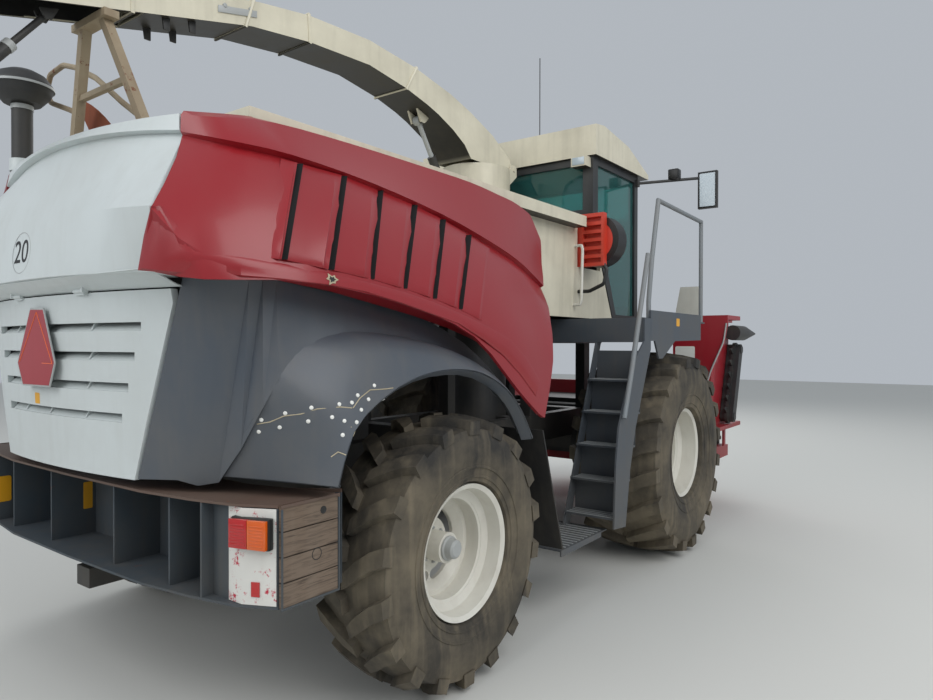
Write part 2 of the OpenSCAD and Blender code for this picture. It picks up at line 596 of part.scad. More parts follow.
// Ladders: six closed steps between an inner and an outer stringer
floor_h = 180;
ladder_t = 12;
step_n = 6;
ladder_out = 1450;
ladder_in = 1070;
function step_x(i) = 1530 + i * 84;
function step_z(i) = 530 + i * 221;
module ladders() placed() color(grey) mirrored() {
    // Outer stringer, curved round the tyre
    side_extrude(ladder_out - ladder_t, ladder_out) polygon([
        [1450, 480], [1480, 910], [1520, 1130], [1620, 1320], [1760, 1550], [1945, 1700], [1945, 1860],
        [2060, 1860], [2060, 1640], [1930, 1380], [1790, 1100], [1700, 820], [1630, 460]
    ]);
    side_extrude(ladder_in, ladder_in + ladder_t) polygon([
        [1450, 442], [1540, 442], [2020, 1690], [1945, 1690]
    ]);
    for (i = [0 : step_n - 2]) {
        translate([step_x(i) - 60, ladder_in + 6, step_z(i)]) cube([160, ladder_out - ladder_in - 12, 12]);
        side_extrude(ladder_in + 6, ladder_out - 6) polygon([
            [step_x(i) + 96, step_z(i)], [step_x(i) + 100, step_z(i)],
            [step_x(i) + 104, step_z(i) + 216], [step_x(i) + 96, step_z(i) + 216]
        ]);
    }
    // Landing ahead of the rear wheel
    translate([930, 1000, 440]) cube([620, 350, 8]);
    translate([930, 1340, 412]) cube([540, 10, 36]);
}
// Rails: up the ladders, and round the platform
rail_d = 34;
rail_y = ladder_out + rail_d / 2 + seat_gap;
guard_y = ladder_out - 30;
module handrails() placed() color("#7b8084") {
    mirrored() tube([[1560, rail_y, 1190], [1680, rail_y, 1500], [1960, rail_y, 2310]], rail_d);
    mirror([0, 1, 0]) tube([
        [2090, guard_y, floor_z], [2090, guard_y, 1990], [2150, guard_y, 2300], [2270, guard_y, 2740],
        [3250, guard_y, 2720], [3250, guard_y, floor_z]
    ], rail_d);
    tube([[3060, guard_y, floor_z], [3060, guard_y, 2720], [3280, guard_y, 2720], [3280, guard_y, floor_z]], rail_d);
}

// Cab
cab_side = [
    [cab_rear_x, 2700], [2460, 2450], [2740, floor_z], [cab_front_x, floor_z], [cab_front_x, roof_z], [cab_rear_x, roof_z]
];
module cab_shell() placed() color(dark) {
    difference() {
        side_extrude(-cab_half, cab_half) polygon(cab_side);
        side_extrude(-cab_half + cab_wall, cab_half - cab_wall) offset(delta = -cab_wall) polygon(cab_side);
        // Door openings and windows
        side_extrude(-1000, 1000) polygon([
            [cab_rear_x + 90, 2730], [2530, 2500], [2790, floor_z + 60], [cab_front_x - 70, floor_z + 60],
            [cab_front_x - 70, roof_z - 60], [cab_rear_x + 90, roof_z - 60]
        ]);
        translate([cab_rear_x - 200, -760, 2760]) cube([400, 1520, 360]);
        translate([cab_front_x - 200, -780, floor_z + 150]) cube([400, 1560, roof_z - floor_z - 220]);
    }
}
module cab_roof() placed() color(cream) {
    side_extrude(-cab_half - 40, cab_half + 40) polygon([
        [cab_rear_x - 30, roof_z + eps], [cab_front_x + 150, roof_z + eps], [cab_front_x + 150, roof_z + 40],
        [cab_front_x - 300, roof_z + 200], [cab_rear_x + 120, roof_z + 260], [cab_rear_x - 30, roof_z + 240]
    ]);
    translate([2450, -300, roof_z + 200]) cylinder(d = 40, h = 65);
}
module cab_glass() placed() color("#3f8f8a") {
    translate([cab_rear_x + 20, -760 + seat_gap, 2760 + seat_gap]) cube([glass_t, 1520 - 2 * seat_gap, 360 - 2 * seat_gap]);
    translate([cab_front_x - 40, -780 + seat_gap, floor_z + 150 + seat_gap])
        cube([glass_t, 1560 - 2 * seat_gap, roof_z - floor_z - 220 - 2 * seat_gap]);
    side_extrude(-cab_half + 20, -cab_half + 20 + glass_t) offset(delta = -seat_gap) door_opening();
}
module door_opening() polygon([
    [cab_rear_x + 90, 2730], [2530, 2500], [2790, floor_z + 60], [cab_front_x - 70, floor_z + 60],
    [cab_front_x - 70, roof_z - 60], [cab_rear_x + 90, roof_z - 60]
]);
door_clear = 6;
door_frame = 60;
door_hinge = [2405, cab_half + 12];
module cab_door() placed() color(dark) {
    side_extrude(cab_half - 40, cab_half) difference() {
        offset(delta = -door_clear) door_opening();
        offset(delta = -door_clear - door_frame) door_opening();
    }
    // Hinge straps
    for (z = [2800, 3020]) {
        translate([door_hinge[0], door_hinge[1], z]) cylinder(r = 12 - seat_gap, h = 60, $fn = 32);
        translate([door_hinge[0], cab_half + 4, z + 5]) cube([90, 8, 50]);
        translate([2460, cab_half - 2, z + 5]) cube([35, 8, 50]);
    }
}
module door_glass() placed() color("#3f8f8a") side_extrude(cab_half - 24, cab_half - 16)
    offset(delta = -door_clear - door_frame - 0.3) door_opening();
module cab_seat() placed() color("#3a3c40") {
    translate([2800, -200, floor_z + cab_wall]) cube([280, 400, 320]);
    translate([2700, -230, floor_z + cab_wall + 319]) cube([420, 460, 110]);
    translate([2640, -230, floor_z + cab_wall + 319]) rotate([0, -8, 0]) translate([0, 10, 0]) cube([110, 440, 620]);
}

// Condenser with its fan at the cab's right rear corner
module condenser() placed() color("#d8402c") {
    difference() {
        translate([2100, -1060, 2270]) cube([60, 230, 400]);
        for (i = [0 : 5]) translate([2090, -1040, 2295 + i * 62]) cube([50, 150, 36]);
    }
    translate([2160 - eps, -960, 2470]) rotate([0, 90, 0]) difference() {
        cylinder(d = 380, h = 150);
        translate([0, 0, 12]) cylinder(d = 360, h = 150);
    }
    translate([2160 - eps, -960, 2470]) rotate([0, 90, 0]) cylinder(d = 80, h = 36);
    translate([2190, -960, 2470]) rotate([0, 90, 0]) cylinder(d = 16, h = 60);
}
module condenser_fan() placed() color(dark) translate([2202, -960, 2470]) rotate([0, 90, 0]) difference() {
    union() {
        cylinder(d = 110, h = 60);
        for (i = [0 : 5]) rotate([0, 0, i * 60]) translate([50, -30, 10]) cube([118, 60, 12]);
    }
    translate([0, 0, -1]) cylinder(d = 16.6, h = 50);
}
module work_lamps() placed() color(cream) mirrored() translate([cab_rear_x - 90, 700, 3090]) cube([90, 130, 80]);
module mirrors() placed() color(dark) mirrored() {
    translate([3195, cab_half, 3090]) cube([50, 22, 60]);
    bar([3225, cab_half + 12, 3120], [3600, 1290, 3180], 26);
    translate([3590, 1280, 2900]) cube([40, 170, 330]);
}
module antenna() placed() color(dark) translate([2450, -300, roof_z + 265]) cylinder(d = 8, h = 675);

// Spout
spout_top = [
    [2240, 3110], [2190, 3220], [1950, 3360], [1650, 3470], [1400, 3540], [1000, 3610], [550, 3645], [50, 3615],
    [-300, 3555], [-1000, 3380], [-1650, 3205]
];
spout_under = [
    [1640, 3110], [1560, 3200], [1420, 3280], [1250, 3350], [1120, 3390], [900, 3440], [550, 3485], [60, 3460],
    [-350, 3405], [-1000, 3235], [-1650, 3065]
];
spout_pin = [2212, 3130];
spout_pin_d = 30;
turret_top = 3096;
boss_t = 10;
ear_t = 18;
ear_y = spout_root_half + boss_t + seat_gap;
module turret() placed() color(cream) {
    difference() {
        union() {
            translate([turret_x, 0, deck_z + seat_gap]) cylinder(r = turret_r, h = 60);
            translate([turret_x, 0, deck_z + seat_gap]) cylinder(r = turret_r - 50, h = turret_top - deck_z - seat_gap);
            // Ears that carry the spout
            mirrored() side_extrude(ear_y, ear_y + ear_t) polygon([
                [2000, 2960], [2100, 2960], [2250, 3080], [2250, 3150], [2230, 3168], [2190, 3168], [2120, 3090], [2000, 3090]
            ]);
            // Ears for the ram's foot
            for (s = [-1, 1]) side_extrude(s * 43 - 8, s * 43 + 8)
                polygon([[1690, 2715], [1600, 2705], [1565, 2720], [1560, 2760], [1590, 2775], [1690, 2790]]);
        }
        translate([turret_x, 0, deck_z]) cylinder(r = turret_r - 70, h = 500);
        translate([spout_pin[0], -300, spout_pin[1]]) rotate([-90, 0, 0]) cylinder(d = spout_pin_d + 2 * seat_gap, h = 600, $fn = 48);
    }
    translate([lift_a[0], -50, lift_a[2]]) rotate([-90, 0, 0]) cylinder(d = ram_pin_d, h = 100, $fn = 48);
}
// A closed ring loft between rows of four corners
module ring_loft(rows) {
    n = len(rows);
    polyhedron(
        points = [for (r = rows) each r],
        faces = concat(
            [[0, 1, 2, 3]],
            [for (i = [0 : n - 2]) for (j = [0 : 3]) let (k = (j + 1) % 4)
                each [[i * 4 + j, i * 4 + 4 + j, i * 4 + 4 + k], [i * 4 + j, i * 4 + 4 + k, i * 4 + k]]],
            [[(n - 1) * 4 + 3, (n - 1) * 4 + 2, (n - 1) * 4 + 1, (n - 1) * 4]]
        )
    );
}
// The spout's corners, each section pulled in by t
function spout_rows(t) = [for (i = [0 : len(spout_top) - 1])
    let (w = lerp(spout_root_half, spout_end_half, i / (len(spout_top) - 1)) - t, a = spout_top[i], b = spout_under[i],
         d = t * unit(b - a))
    [[a[0] + d[0], -w, a[1] + d[1]], [a[0] + d[0], w, a[1] + d[1]], [b[0] - d[0], w, b[1] - d[1]], [b[0] - d[0], -w, b[1] - d[1]]]];
module spout() placed() color(cream) {
    spout_shell();
    // Pivot pins with their bosses, and the ram's lug
    mirrored() translate([spout_pin[0], spout_root_half - 4, spout_pin[1]]) rotate([-90, 0, 0]) {
        cylinder(d = 60, h = boss_t + 4, $fn = 48);
        cylinder(d = spout_pin_d, h = boss_t + ear_t + 10, $fn = 48);
    }
    for (s = [-1, 1]) side_extrude(s * 43 - 8, s * 43 + 8)
        polygon([[1130, 3400], [1270, 3355], [1232, 3308], [1210, 3295], [1180, 3298]]);
    translate([lift_b[0], -50, lift_b[2]]) rotate([-90, 0, 0]) cylinder(d = ram_pin_d, h = 100, $fn = 48);
}
module spout_shell() difference() {
    ring_loft(spout_rows(0));
    ring_loft(spout_rows(spout_wall));
    // Open mouths at the root and at the end, and the open underside near the end
    translate([1660, -spout_root_half + spout_wall, 3070]) cube([550, 2 * (spout_root_half - spout_wall), 60]);
    translate([-1700, -spout_end_half + spout_wall, 3000]) cube([100, 2 * (spout_end_half - spout_wall), 195]);
    side_extrude(-spout_end_half + spout_wall, spout_end_half - spout_wall)
        polygon([[-1700, 3000], [-950, 3000], [-950, 3260], [-1700, 3080]]);
}
flap_half = spout_end_half - spout_wall - 6;
module spout_flap() placed() color(dark) {
    side_extrude(-flap_half, flap_half)
        polygon([
            [-1642, 3190], [10 - rear_reach, 3110], [-rear_reach, 3070], [15 - rear_reach, 3070],
            [25 - rear_reach, 3100], [-1642, 3178]
        ]);
    translate([-1642, -spout_end_half + spout_wall + seat_gap, 3182]) rotate([-90, 0, 0])
        cylinder(d = 12, h = 2 * (spout_end_half - spout_wall - seat_gap), $fn = 24);
}
lift_a = [1590, 0, 2740];
lift_b = [1200, 0, 3320];
ram_pin_d = 30;
// A ram's barrel from its foot eye at a, its mouth at the share m of the way to b
module ram_barrel(a, b, d, rod_d, eye_w, m) difference() {
    union() {
        bar(a, lerp(a, b, m), d);
        translate(a - [0, eye_w / 2, 0]) rotate([-90, 0, 0]) cylinder(d = d, h = eye_w, $fn = 24);
    }
    bar(lerp(a, b, 0.1), lerp(a, b, m + 0.1), rod_d + 2 * seat_gap);
    translate(a - [0, eye_w, 0]) rotate([-90, 0, 0]) cylinder(d = ram_pin_d + 2 * seat_gap, h = 2 * eye_w, $fn = 48);
}
// A ram's rod from the share m inside the barrel to its eye at b
module ram_rod(a, b, d, eye_d, eye_w, m, play) difference() {
    union() {
        bar(lerp(a, b, m), b, d);
        translate(b - [0, eye_w / 2, 0]) rotate([-90, 0, 0]) cylinder(d = eye_d, h = eye_w, $fn = 24);
    }
    translate(b - [0, eye_w, 0]) rotate([-90, 0, 0]) cylinder(d = ram_pin_d + 2 * play, h = 2 * eye_w, $fn = 48);
}
module lift_barrel() placed() color(dark) ram_barrel(lift_a, lift_b, 66, 36, 60, 0.6);
module lift_rod() placed() color("#b8bcc0") ram_rod(lift_a, lift_b, 36, 66, 50, 0.13, 7);
saddle_z = 3192;
post_w = 44;
// A square post between two heights
module post(a, b, w) ring_loft([for (p = [a, b])
    [p + [w / 2, -w / 2, 0], p + [w / 2, w / 2, 0], p + [-w / 2, w / 2, 0], p + [-w / 2, -w / 2, 0]]]);
module spout_rest() placed() color("#9a8f78") {
    mirrored() {
        translate([rest_x - 45, rest_y - 45, pad_z]) cube([90, 90, 12]);
        post([rest_x, rest_y, pad_z + 6], [-1120, 90, saddle_z - 16], post_w);
    }
    translate([-1154, -160, saddle_z - 34]) cube([68, 320, 34]);
    translate([-1096, -230, 2860]) cube([26, 460, 26]);
}
module intake_stack() placed() color(dark) translate([stack_x, stack_y, pad_z]) {
    cylinder(d = stem_d, h = stem_h);
    // Pre-cleaner bowl
    translate([0, 0, stem_h - 1]) rotate_extrude()
        polygon([[0, 0], [90, 0], [132, 48], [150, 88], [146, 104], [112, 150], [70, 172], [0, 179]]);
}

// Intake housing and header
feeder_pivot = [3160, 1080];
feeder_half = 410;
pivot_d = 80;
module feeder() placed() color(dark) {
    translate([3230, -feeder_half, 640]) cube([header_back - 3230, 2 * feeder_half, 520]);
    translate([feeder_pivot[0], -frame_w / 2 - 5, feeder_pivot[1]]) rotate([-90, 0, 0]) cylinder(d = pivot_d, h = frame_w + 10, $fn = 48);
    translate([3150, -feeder_half + 10, 720]) cube([100, 2 * feeder_half - 20, 400]);
    mirrored() translate([header_ram_b[0], feeder_half - 10, header_ram_b[2]]) rotate([-90, 0, 0])
        cylinder(d = ram_pin_d, h = 130, $fn = 48);
}
// Centre section: a tray with the wings' hinges, a back wall and two finger chains
tray_t = 120;
hinge_z = header_low + 330;
hinge_y = centre_half + 20;
hinge_x = [4050, 5050];
knuckle_d = 36;
tray_front = 5200;
module header_frame() placed() color(red) {
    translate([header_back, -centre_half, header_low]) cube([tray_front - header_back, 2 * centre_half, tray_t]);
    translate([header_back, -750, header_low + tray_t - 1]) cube([60, 1500, 730]);
    // Uprights with the wings' hinge knuckles
    mirrored() for (x = hinge_x) translate([x, 0, 0]) {
        translate([0, centre_half - 20, header_low + tray_t - 1]) cube([60, 20, hinge_z - header_low - tray_t + 19]);
        translate([0, centre_half - 5, hinge_z - 15]) cube([60, hinge_y - centre_half + 5, 30]);
        translate([0, hinge_y, hinge_z]) rotate([0, 90, 0]) cylinder(d = knuckle_d, h = 60, $fn = 24);
    }
}
// Divider noses, lying along X: a tube that ends in a point
nose_d = 160;
module nose(x0, x1, y, z) translate([x0, y, z]) rotate([0, 90, 0]) rotate_extrude($fn = 32)
    polygon([[0, 0], [nose_d / 2, 0], [nose_d / 2, (x1 - x0) * 0.42], [10, x1 - x0], [0, x1 - x0]]);

// A finger chain drawn flat, from its lower wheel at the origin along +Y, with the fingers of both runs
chain_r = 75;
carrier_r = 58;
finger_step = 130;
finger_l = 90;
finger_t = 16;
chain_t = 34;
cap_t = 8;
module loop(l, r, z0, h) translate([0, 0, z0]) linear_extrude(h) hull() {
    circle(r = r, $fn = 32);
    translate([0, l]) circle(r = r, $fn = 32);
}
module finger_chain(l, depth) {
    loop(l, carrier_r, 0, depth);
    loop(l, chain_r, depth / 2 - chain_t / 2, chain_t);
    // Bearing caps of the two chain wheels
    for (y = [0, l]) translate([0, y, -cap_t]) cylinder(r = carrier_r - 16, h = depth + 2 * cap_t, $fn = 24);
    n = floor(l / finger_step);
    for (side = [1, -1], i = [0 : n])
        translate([0, l / 2 + (i - n / 2) * finger_step, depth / 2 - finger_t / 2]) linear_extrude(finger_t)
            polygon([[side * (chain_r - 6), -34], [side * (chain_r - 6), 34],
                [side * (chain_r + finger_l), 6], [side * (chain_r + finger_l), -10]]);
}
centre_chain = [5130, 190, 780];
carrier_h = 130;
module centre_chains() placed() color(dark) {
    mirrored() translate([centre_chain[0], centre_chain[1], header_low + tray_t + cap_t]) finger_chain(centre_chain[2], carrier_h);
    for (y = [-700, 0, 700]) nose(tray_front, tray_front + 490, y, header_low + 80);
}

// Wings, folded upright: the outline of the back wall in Y-Z, with its raised guard
wing_z = hinge_z + 20;
wing_top = wing_z + wing_len;
wall_x = header_back + 40;
wall_t = 20;
wall_line = [
    [hinge_y, wing_z], [1240, wing_z], [1250, 1250], [1300, 1420], [1420, 1700], [wing_half, 1880],
    [wing_half, wing_top], [1205, wing_top], [1185, 2230], [1000, 2230], [950, 1960], [930, 1700], [930, 1330], [hinge_y, 1200]
];
// The inner skin in X-Z: its front edge leans with the chain
skin_line = [
    [wall_x, wing_z], [5170, wing_z], [5170, 850], [4830, 900], [5060, 1560], [5060, wing_top], [wall_x, wing_top]
];
skin_t = 20;
wing_chain_a = [4797, 920];
wing_chain_b = [5050, 1620];
nose_z = 1800;
module wing() color(red) {
    translate([wall_x + wall_t, 0, 0]) rotate([90, 0, -90]) mirror([1, 0, 0]) linear_extrude(wall_t) polygon(wall_line);
    side_extrude(hinge_y, hinge_y + skin_t) polygon(skin_line);
    // Root plate, end plate and the stiffening gutter along the outside
    translate([wall_x, hinge_y, wing_z]) cube([5170 - wall_x, 120, 40]);
    translate([wall_x, hinge_y, wing_top - 40]) cube([5060 - wall_x, 60, 40]);
    translate([wall_x, hinge_y + 59, wing_top - 40]) cube([420, wing_half - hinge_y - 59, 40]);
    translate([wall_x, hinge_y, 1500]) cube([300, 150, 30]);
    // Tube that braces the root plate against the end plate
    bar([4120, 1210, wing_z + 20], [4340, 1210, wing_top - 20], 60);
    for (x = hinge_x) translate([x + 60 + seat_gap, hinge_y, hinge_z]) {
        rotate([0, 90, 0]) cylinder(d = knuckle_d, h = 60, $fn = 24);
        cube([60, knuckle_d / 2, 30]);
    }
}
module wing_left() placed() wing();
module wing_right() placed() mirror([0, 1, 0]) wing();
module wing_chain() color(dark) {
    v = wing_chain_b - wing_chain_a;
    translate([wing_chain_a[0], hinge_y + skin_t + cap_t + carrier_h, wing_chain_a[1]]) rotate([90, 0, 0])
        rotate([0, 0, -atan2(v[0], v[1])]) finger_chain(norm(v), carrier_h);
    // Nose on a block against the skin
    nose(4900, front_reach, hinge_y + skin_t + nose_d / 2 + cap_t, nose_z);
    translate([4900, hinge_y + skin_t, nose_z - 40]) cube([140, nose_d / 2, 80]);
}
module wing_chain_left() placed() wing_chain();
module wing_chain_right() placed() mirror([0, 1, 0]) wing_chain();
header_ram_a = [3000, 497, 840];
header_ram_b = [3700, 497, 690];
module header_lift_barrels() placed() color(dark) mirrored() ram_barrel(header_ram_a, header_ram_b, 76, 45, 60, 0.62);
module header_lift_rods() placed() color("#b8bcc0") mirrored() ram_rod(header_ram_a, header_ram_b, 45, 64, 56, 0.3, 1.5);

chassis();
front_axle();
rear_axle();
knuckle_left();
knuckle_right();
front_wheel_left();
front_wheel_right();
rear_wheel_left();
rear_wheel_right();
front_tyre_left();
front_tyre_right();
rear_tyre_left();
rear_tyre_right();
engine();
rear_beam();
beam_boards();
tail_lamps();
rear_hood();
grille_door();
warning_board();
side_panel_left();
side_panel_right();
lower_panels();
mud_flaps();
deck();
platform();
ladders();
handrails();
cab_shell();
cab_roof();
cab_glass();
cab_door();
door_glass();
cab_seat();
condenser();
condenser_fan();
work_lamps();
mirrors();
antenna();
turret();
spout();
spout_flap();
lift_barrel();
lift_rod();
spout_rest();
intake_stack();
feeder();
header_frame();
centre_chains();
wing_left();
wing_right();
wing_chain_left();
wing_chain_right();
header_lift_barrels();
header_lift_rods();
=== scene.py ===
import math

import bpy
from mathutils import Matrix, Vector


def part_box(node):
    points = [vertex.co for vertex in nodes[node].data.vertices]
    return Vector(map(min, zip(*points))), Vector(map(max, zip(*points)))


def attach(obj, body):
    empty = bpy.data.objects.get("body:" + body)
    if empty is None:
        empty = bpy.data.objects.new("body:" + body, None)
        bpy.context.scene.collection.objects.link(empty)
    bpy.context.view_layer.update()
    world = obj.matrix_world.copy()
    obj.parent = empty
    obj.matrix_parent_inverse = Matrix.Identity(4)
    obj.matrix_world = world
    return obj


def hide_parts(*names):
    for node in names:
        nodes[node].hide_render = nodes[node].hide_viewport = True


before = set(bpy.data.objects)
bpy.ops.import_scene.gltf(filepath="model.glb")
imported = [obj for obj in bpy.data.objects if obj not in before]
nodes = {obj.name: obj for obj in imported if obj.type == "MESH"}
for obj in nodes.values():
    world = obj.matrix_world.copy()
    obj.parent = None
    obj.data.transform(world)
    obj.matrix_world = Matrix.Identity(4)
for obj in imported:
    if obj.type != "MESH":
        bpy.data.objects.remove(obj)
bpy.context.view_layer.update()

bpy.ops.object.select_all(action="DESELECT")
scene = bpy.context.scene
scene.view_settings.view_transform = "Standard"


# The yard: a pale level floor under a soft overcast light, with the camera
# at the right rear corner of the machine, about head high.
def srgb(hex_text):
    """A hex colour as the linear RGBA that a socket takes."""
    parts = [int(hex_text[i:i + 2], 16) / 255 for i in (0, 2, 4)]
    return [c / 12.92 if c <= 0.04045 else ((c + 0.055) / 1.055) ** 2.4 for c in parts] + [1]


def feed(port, value):
    """Links a socket to a node's input, or sets the input to a hex colour or a value."""
    if isinstance(value, bpy.types.NodeSocket):
        port.id_data.links.new(value, port)
    else:
        port.default_value = srgb(value) if isinstance(value, str) else value


def feed_all(node, values):
    """Feeds a node's inputs by name."""
    for key, value in values.items():
        feed(node.inputs[key.replace("_", " ")], value)


def add(tree, kind, settings=None, **values):
    """Adds one node to a tree, with its settings and what its inputs take."""
    n = tree.nodes.new("ShaderNode" + kind)
    for key, value in (settings or {}).items():
        setattr(n, key, value)
    feed_all(n, values)
    return n


def surface(name, **values):
    """A new material with values of its shader set, and that shader."""
    m = bpy.data.materials.new(name)
    m.use_nodes = True
    shader = m.node_tree.nodes["Principled BSDF"]
    feed_all(shader, values)
    return m, shader


# The photograph's camera, solved from the wheels, the hood and the beam
LENS_PX = 692
PHOTO_W, PHOTO_H = 933, 700
SENSOR = 36
PITCH, ROLL, YAW = -0.48, -0.09, 36.5
eye = bpy.data.cameras.new("yard_camera")
eye.sensor_width = SENSOR
eye.lens = LENS_PX / PHOTO_W * SENSOR
eye.clip_end = 200
camera = bpy.data.objects.new("yard_camera", eye)
camera.location = (-4.596, -3.331, 1.674)
camera.rotation_euler = (math.radians(90 + PITCH), math.radians(ROLL), math.radians(YAW - 90))
scene.collection.objects.link(camera)
scene.camera = camera

bpy.ops.mesh.primitive_grid_add(size=60, x_subdivisions=2, y_subdivisions=2, location=(0, 0, -0.002))
floor = bpy.context.object
floor.name = "floor"
screed, _ = surface("pale_screed", Base_Color="cfcfca", Roughness=0.9)
floor.data.materials.append(screed)

world = bpy.data.worlds.new("overcast")
world.use_nodes = True
scene.world = world
feed_all(world.node_tree.nodes["Background"], {"Color": "dfe6ee", "Strength": 0.6})
for name, spot, turn, size, power in (
    ("sky_right", (-3, -9, 8), (48, 0, -18), 8, 620),
    ("sky_rear", (-10, 1, 7), (55, 0, -95), 7, 380),
    ("sky_front", (9, 5, 8), (50, 0, 120), 8, 420),
):
    lamp = bpy.data.lights.new(name, "AREA")
    lamp.size = size
    lamp.energy = power
    holder = bpy.data.objects.new(name, lamp)
    holder.location = spot
    holder.rotation_euler = [math.radians(a) for a in turn]
    scene.collection.objects.link(holder)


# Frame steelwork: welded plate and tube, brush painted black, gone dull and
# dusty, with rust where stones have chipped it.
def painted(name, colour, dust, rough, dusty, mud=0, mud_top=1.2, rust=0, chip="6d3f26",
            coat=0, grain=0.0006, painted_shade_below=None, above=None, bands=None):
    """Sprayed paint: a dust film in patches and streaks, mud toward the ground, and chips down to rust.
    painted_shade_below is the colour of painted shade on faces that face down, above = (height, colour) that of what
    is higher, bands = (course height, lowest z, dark line) draws the joints of boards."""
    m, shader = surface(name, Coat_Weight=coat, Coat_Roughness=0.15)
    t = m.node_tree
    coords = add(t, "TexCoord").outputs
    place = coords["Object"]
    height = add(t, "SeparateXYZ", Vector=place).outputs["Z"]

    def blend(share, a, b):
        """One colour passing into another by a share."""
        mix = add(t, "Mix", {"data_type": "RGBA"}, Factor=share)
        for socket, value in (("A", a), ("B", b)):
            feed([i for i in mix.inputs if i.name == socket and i.type == "RGBA"][0], value)
        return [o for o in mix.outputs if o.type == "RGBA"][0]

    def noise(space, scale, detail, **more):
        """Cloudy noise, its patches about 1 / scale metres across."""
        return add(t, "TexNoise", Vector=space, Scale=scale, Detail=detail, **more).outputs["Fac"]

    def stretched(scale):
        """The place, stretched by a factor along each axis."""
        return add(t, "Mapping", Vector=place, Scale=scale).outputs["Vector"]

    def ramp(value, low, high, **ends):
        """What lies from low to high, spread from To_Min to To_Max."""
        return add(t, "MapRange", Value=value, From_Min=low, From_Max=high, **ends).outputs["Result"]

    def maths(operation, a, b, clamp=False):
        """One reckoning with two sockets, or with a socket and a number."""
        n = add(t, "Math", {"operation": operation, "use_clamp": clamp})
        feed(n.inputs[0], a)
        feed(n.inputs[1], b)
        return n.outputs[0]

    # Dust lies in patches about half a metre across
    film = ramp(noise(place, 2.1, 7, Roughness=0.62), 0.38, 0.72, To_Max=dusty)
    # Rain has drawn it into upright streaks about 60 mm apart
    runs = ramp(noise(stretched((16, 16, 1.2)), 1, 5), 0.5, 0.8, To_Max=dusty * 0.6)
    # Mud thrown up by the wheels, thickest at the ground
    low = ramp(height, 0.1, mud_top, To_Min=mud, To_Max=0)
    mudded = maths("MULTIPLY", low, noise(place, 9, 8, Roughness=0.7))
    dirt = maths("ADD", maths("ADD", film, runs, clamp=True), mudded, clamp=True)
    ground = colour
    if above:
        ground = blend(maths("GREATER_THAN", height, above[0]), ground, above[1])
    if painted_shade_below:
        # Painted shade: faces that face down are blended toward the painted_shade_below colour
        tip = add(t, "SeparateXYZ", Vector=coords["Normal"]).outputs["Z"]
        ground = blend(ramp(tip, -0.6, -0.7), ground, painted_shade_below)
    skin = blend(dirt, ground, dust)
    if bands:
        step, base, line = bands
        share = maths("PINGPONG", maths("SUBTRACT", height, base), step / 2)
        edge = ramp(share, 0, 0.004, To_Min=0.8, To_Max=0)
        fibre = noise(stretched((6, 6, 90)), 1, 8, Distortion=1.5)
        skin = blend(ramp(fibre, 0.45, 0.75, To_Max=0.7), skin, line)
        skin = blend(edge, skin, line)
    if rust:
        spots = noise(place, 14, 10, Roughness=0.75)
        skin = blend(ramp(spots, 0.74 - rust * 0.2, 0.78 - rust * 0.2), skin, chip)
    # Orange peel and grit, a few millimetres apart
    bump = add(t, "Bump", Height=noise(place, 160, 3), Strength=0.25, Distance=grain).outputs["Normal"]
    feed_all(shader, {"Base Color": skin, "Roughness": ramp(dirt, 0, 1, To_Min=rough, To_Max=0.85), "Normal": bump})
    return m


def wear(look, *names):
    """Gives CAD nodes a finish, and lets their rolled and moulded faces run smoothly between the folds."""
    for name in names:
        node = nodes[name]
        if not node.data.materials:
            node.data.materials.append(look)
        for slot in node.material_slots:
            slot.material = look
        for face in node.data.polygons:
            face.use_smooth = True
        node.modifiers.new("joined_faces", "WELD").merge_threshold = 0.00005
        node.modifiers.new("folds", "EDGE_SPLIT").split_angle = math.radians(28)


def pick(*pieces):
    """Selects these pieces alone, the first of them active."""
    bpy.ops.object.select_all(action="DESELECT")
    for piece in pieces:
        piece.select_set(True)
    bpy.context.view_layer.objects.active = pieces[0]


def settle(piece, name, look, body="machine", bevel=0, angle=35):
    """Puts a piece's place into its mesh, eases its edges, names it and fixes it to its body.
    A list of parts becomes one piece."""
    if isinstance(piece, list):
        piece = joined(piece)
    pick(piece)
    bpy.ops.object.transform_apply(location=True, rotation=True, scale=True)
    if bevel:
        edge = piece.modifiers.new("edge", "BEVEL")
        edge.width = bevel
        edge.segments = 2
        edge.limit_method = "ANGLE"
        bpy.ops.object.modifier_apply(modifier="edge")
    bpy.ops.object.shade_smooth_by_angle(angle=math.radians(angle))
    piece.name = name
    piece.data.name = name
    piece.data.materials.clear()
    piece.data.materials.append(look)
    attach(piece, body)
    return piece


def joined(parts):
    """Several parts as one object."""
    pick(*parts)
    bpy.ops.object.join()
    return bpy.context.object


AXLE_X = -1.9
SIDES = (("left", 1), ("right", -1))


def at(x, y, z):
    """A point given from the rear axle, in millimetres."""
    return Vector((x / 1000 + AXLE_X, y / 1000, z / 1000))


def rect(a, b, low, high):
    """The four corners of a rectangle from a to b and from low to high."""
    return (a, low), (b, low), (b, high), (a, high)


def opened():
    """Opens the active piece's mesh, all of it selected."""
    bpy.ops.object.mode_set(mode="EDIT")
    bpy.ops.mesh.select_all(action="SELECT")


def closed():
    """Turns all faces of the open mesh outward, and closes it."""
    bpy.ops.mesh.select_all(action="SELECT")
    bpy.ops.mesh.normals_make_consistent(inside=False)
    bpy.ops.object.mode_set(mode="OBJECT")


def plate(outline, away):
    """A flat plate cut to an outline of points and drawn out by a vector."""
    bpy.ops.mesh.primitive_circle_add(vertices=len(outline), fill_type="NGON")
    piece = bpy.context.object
    for v, p in zip(piece.data.vertices, outline):
        v.co = p
    opened()
    bpy.ops.mesh.extrude_region_move(TRANSFORM_OT_translate={"value": Vector(away)})
    closed()
    return piece


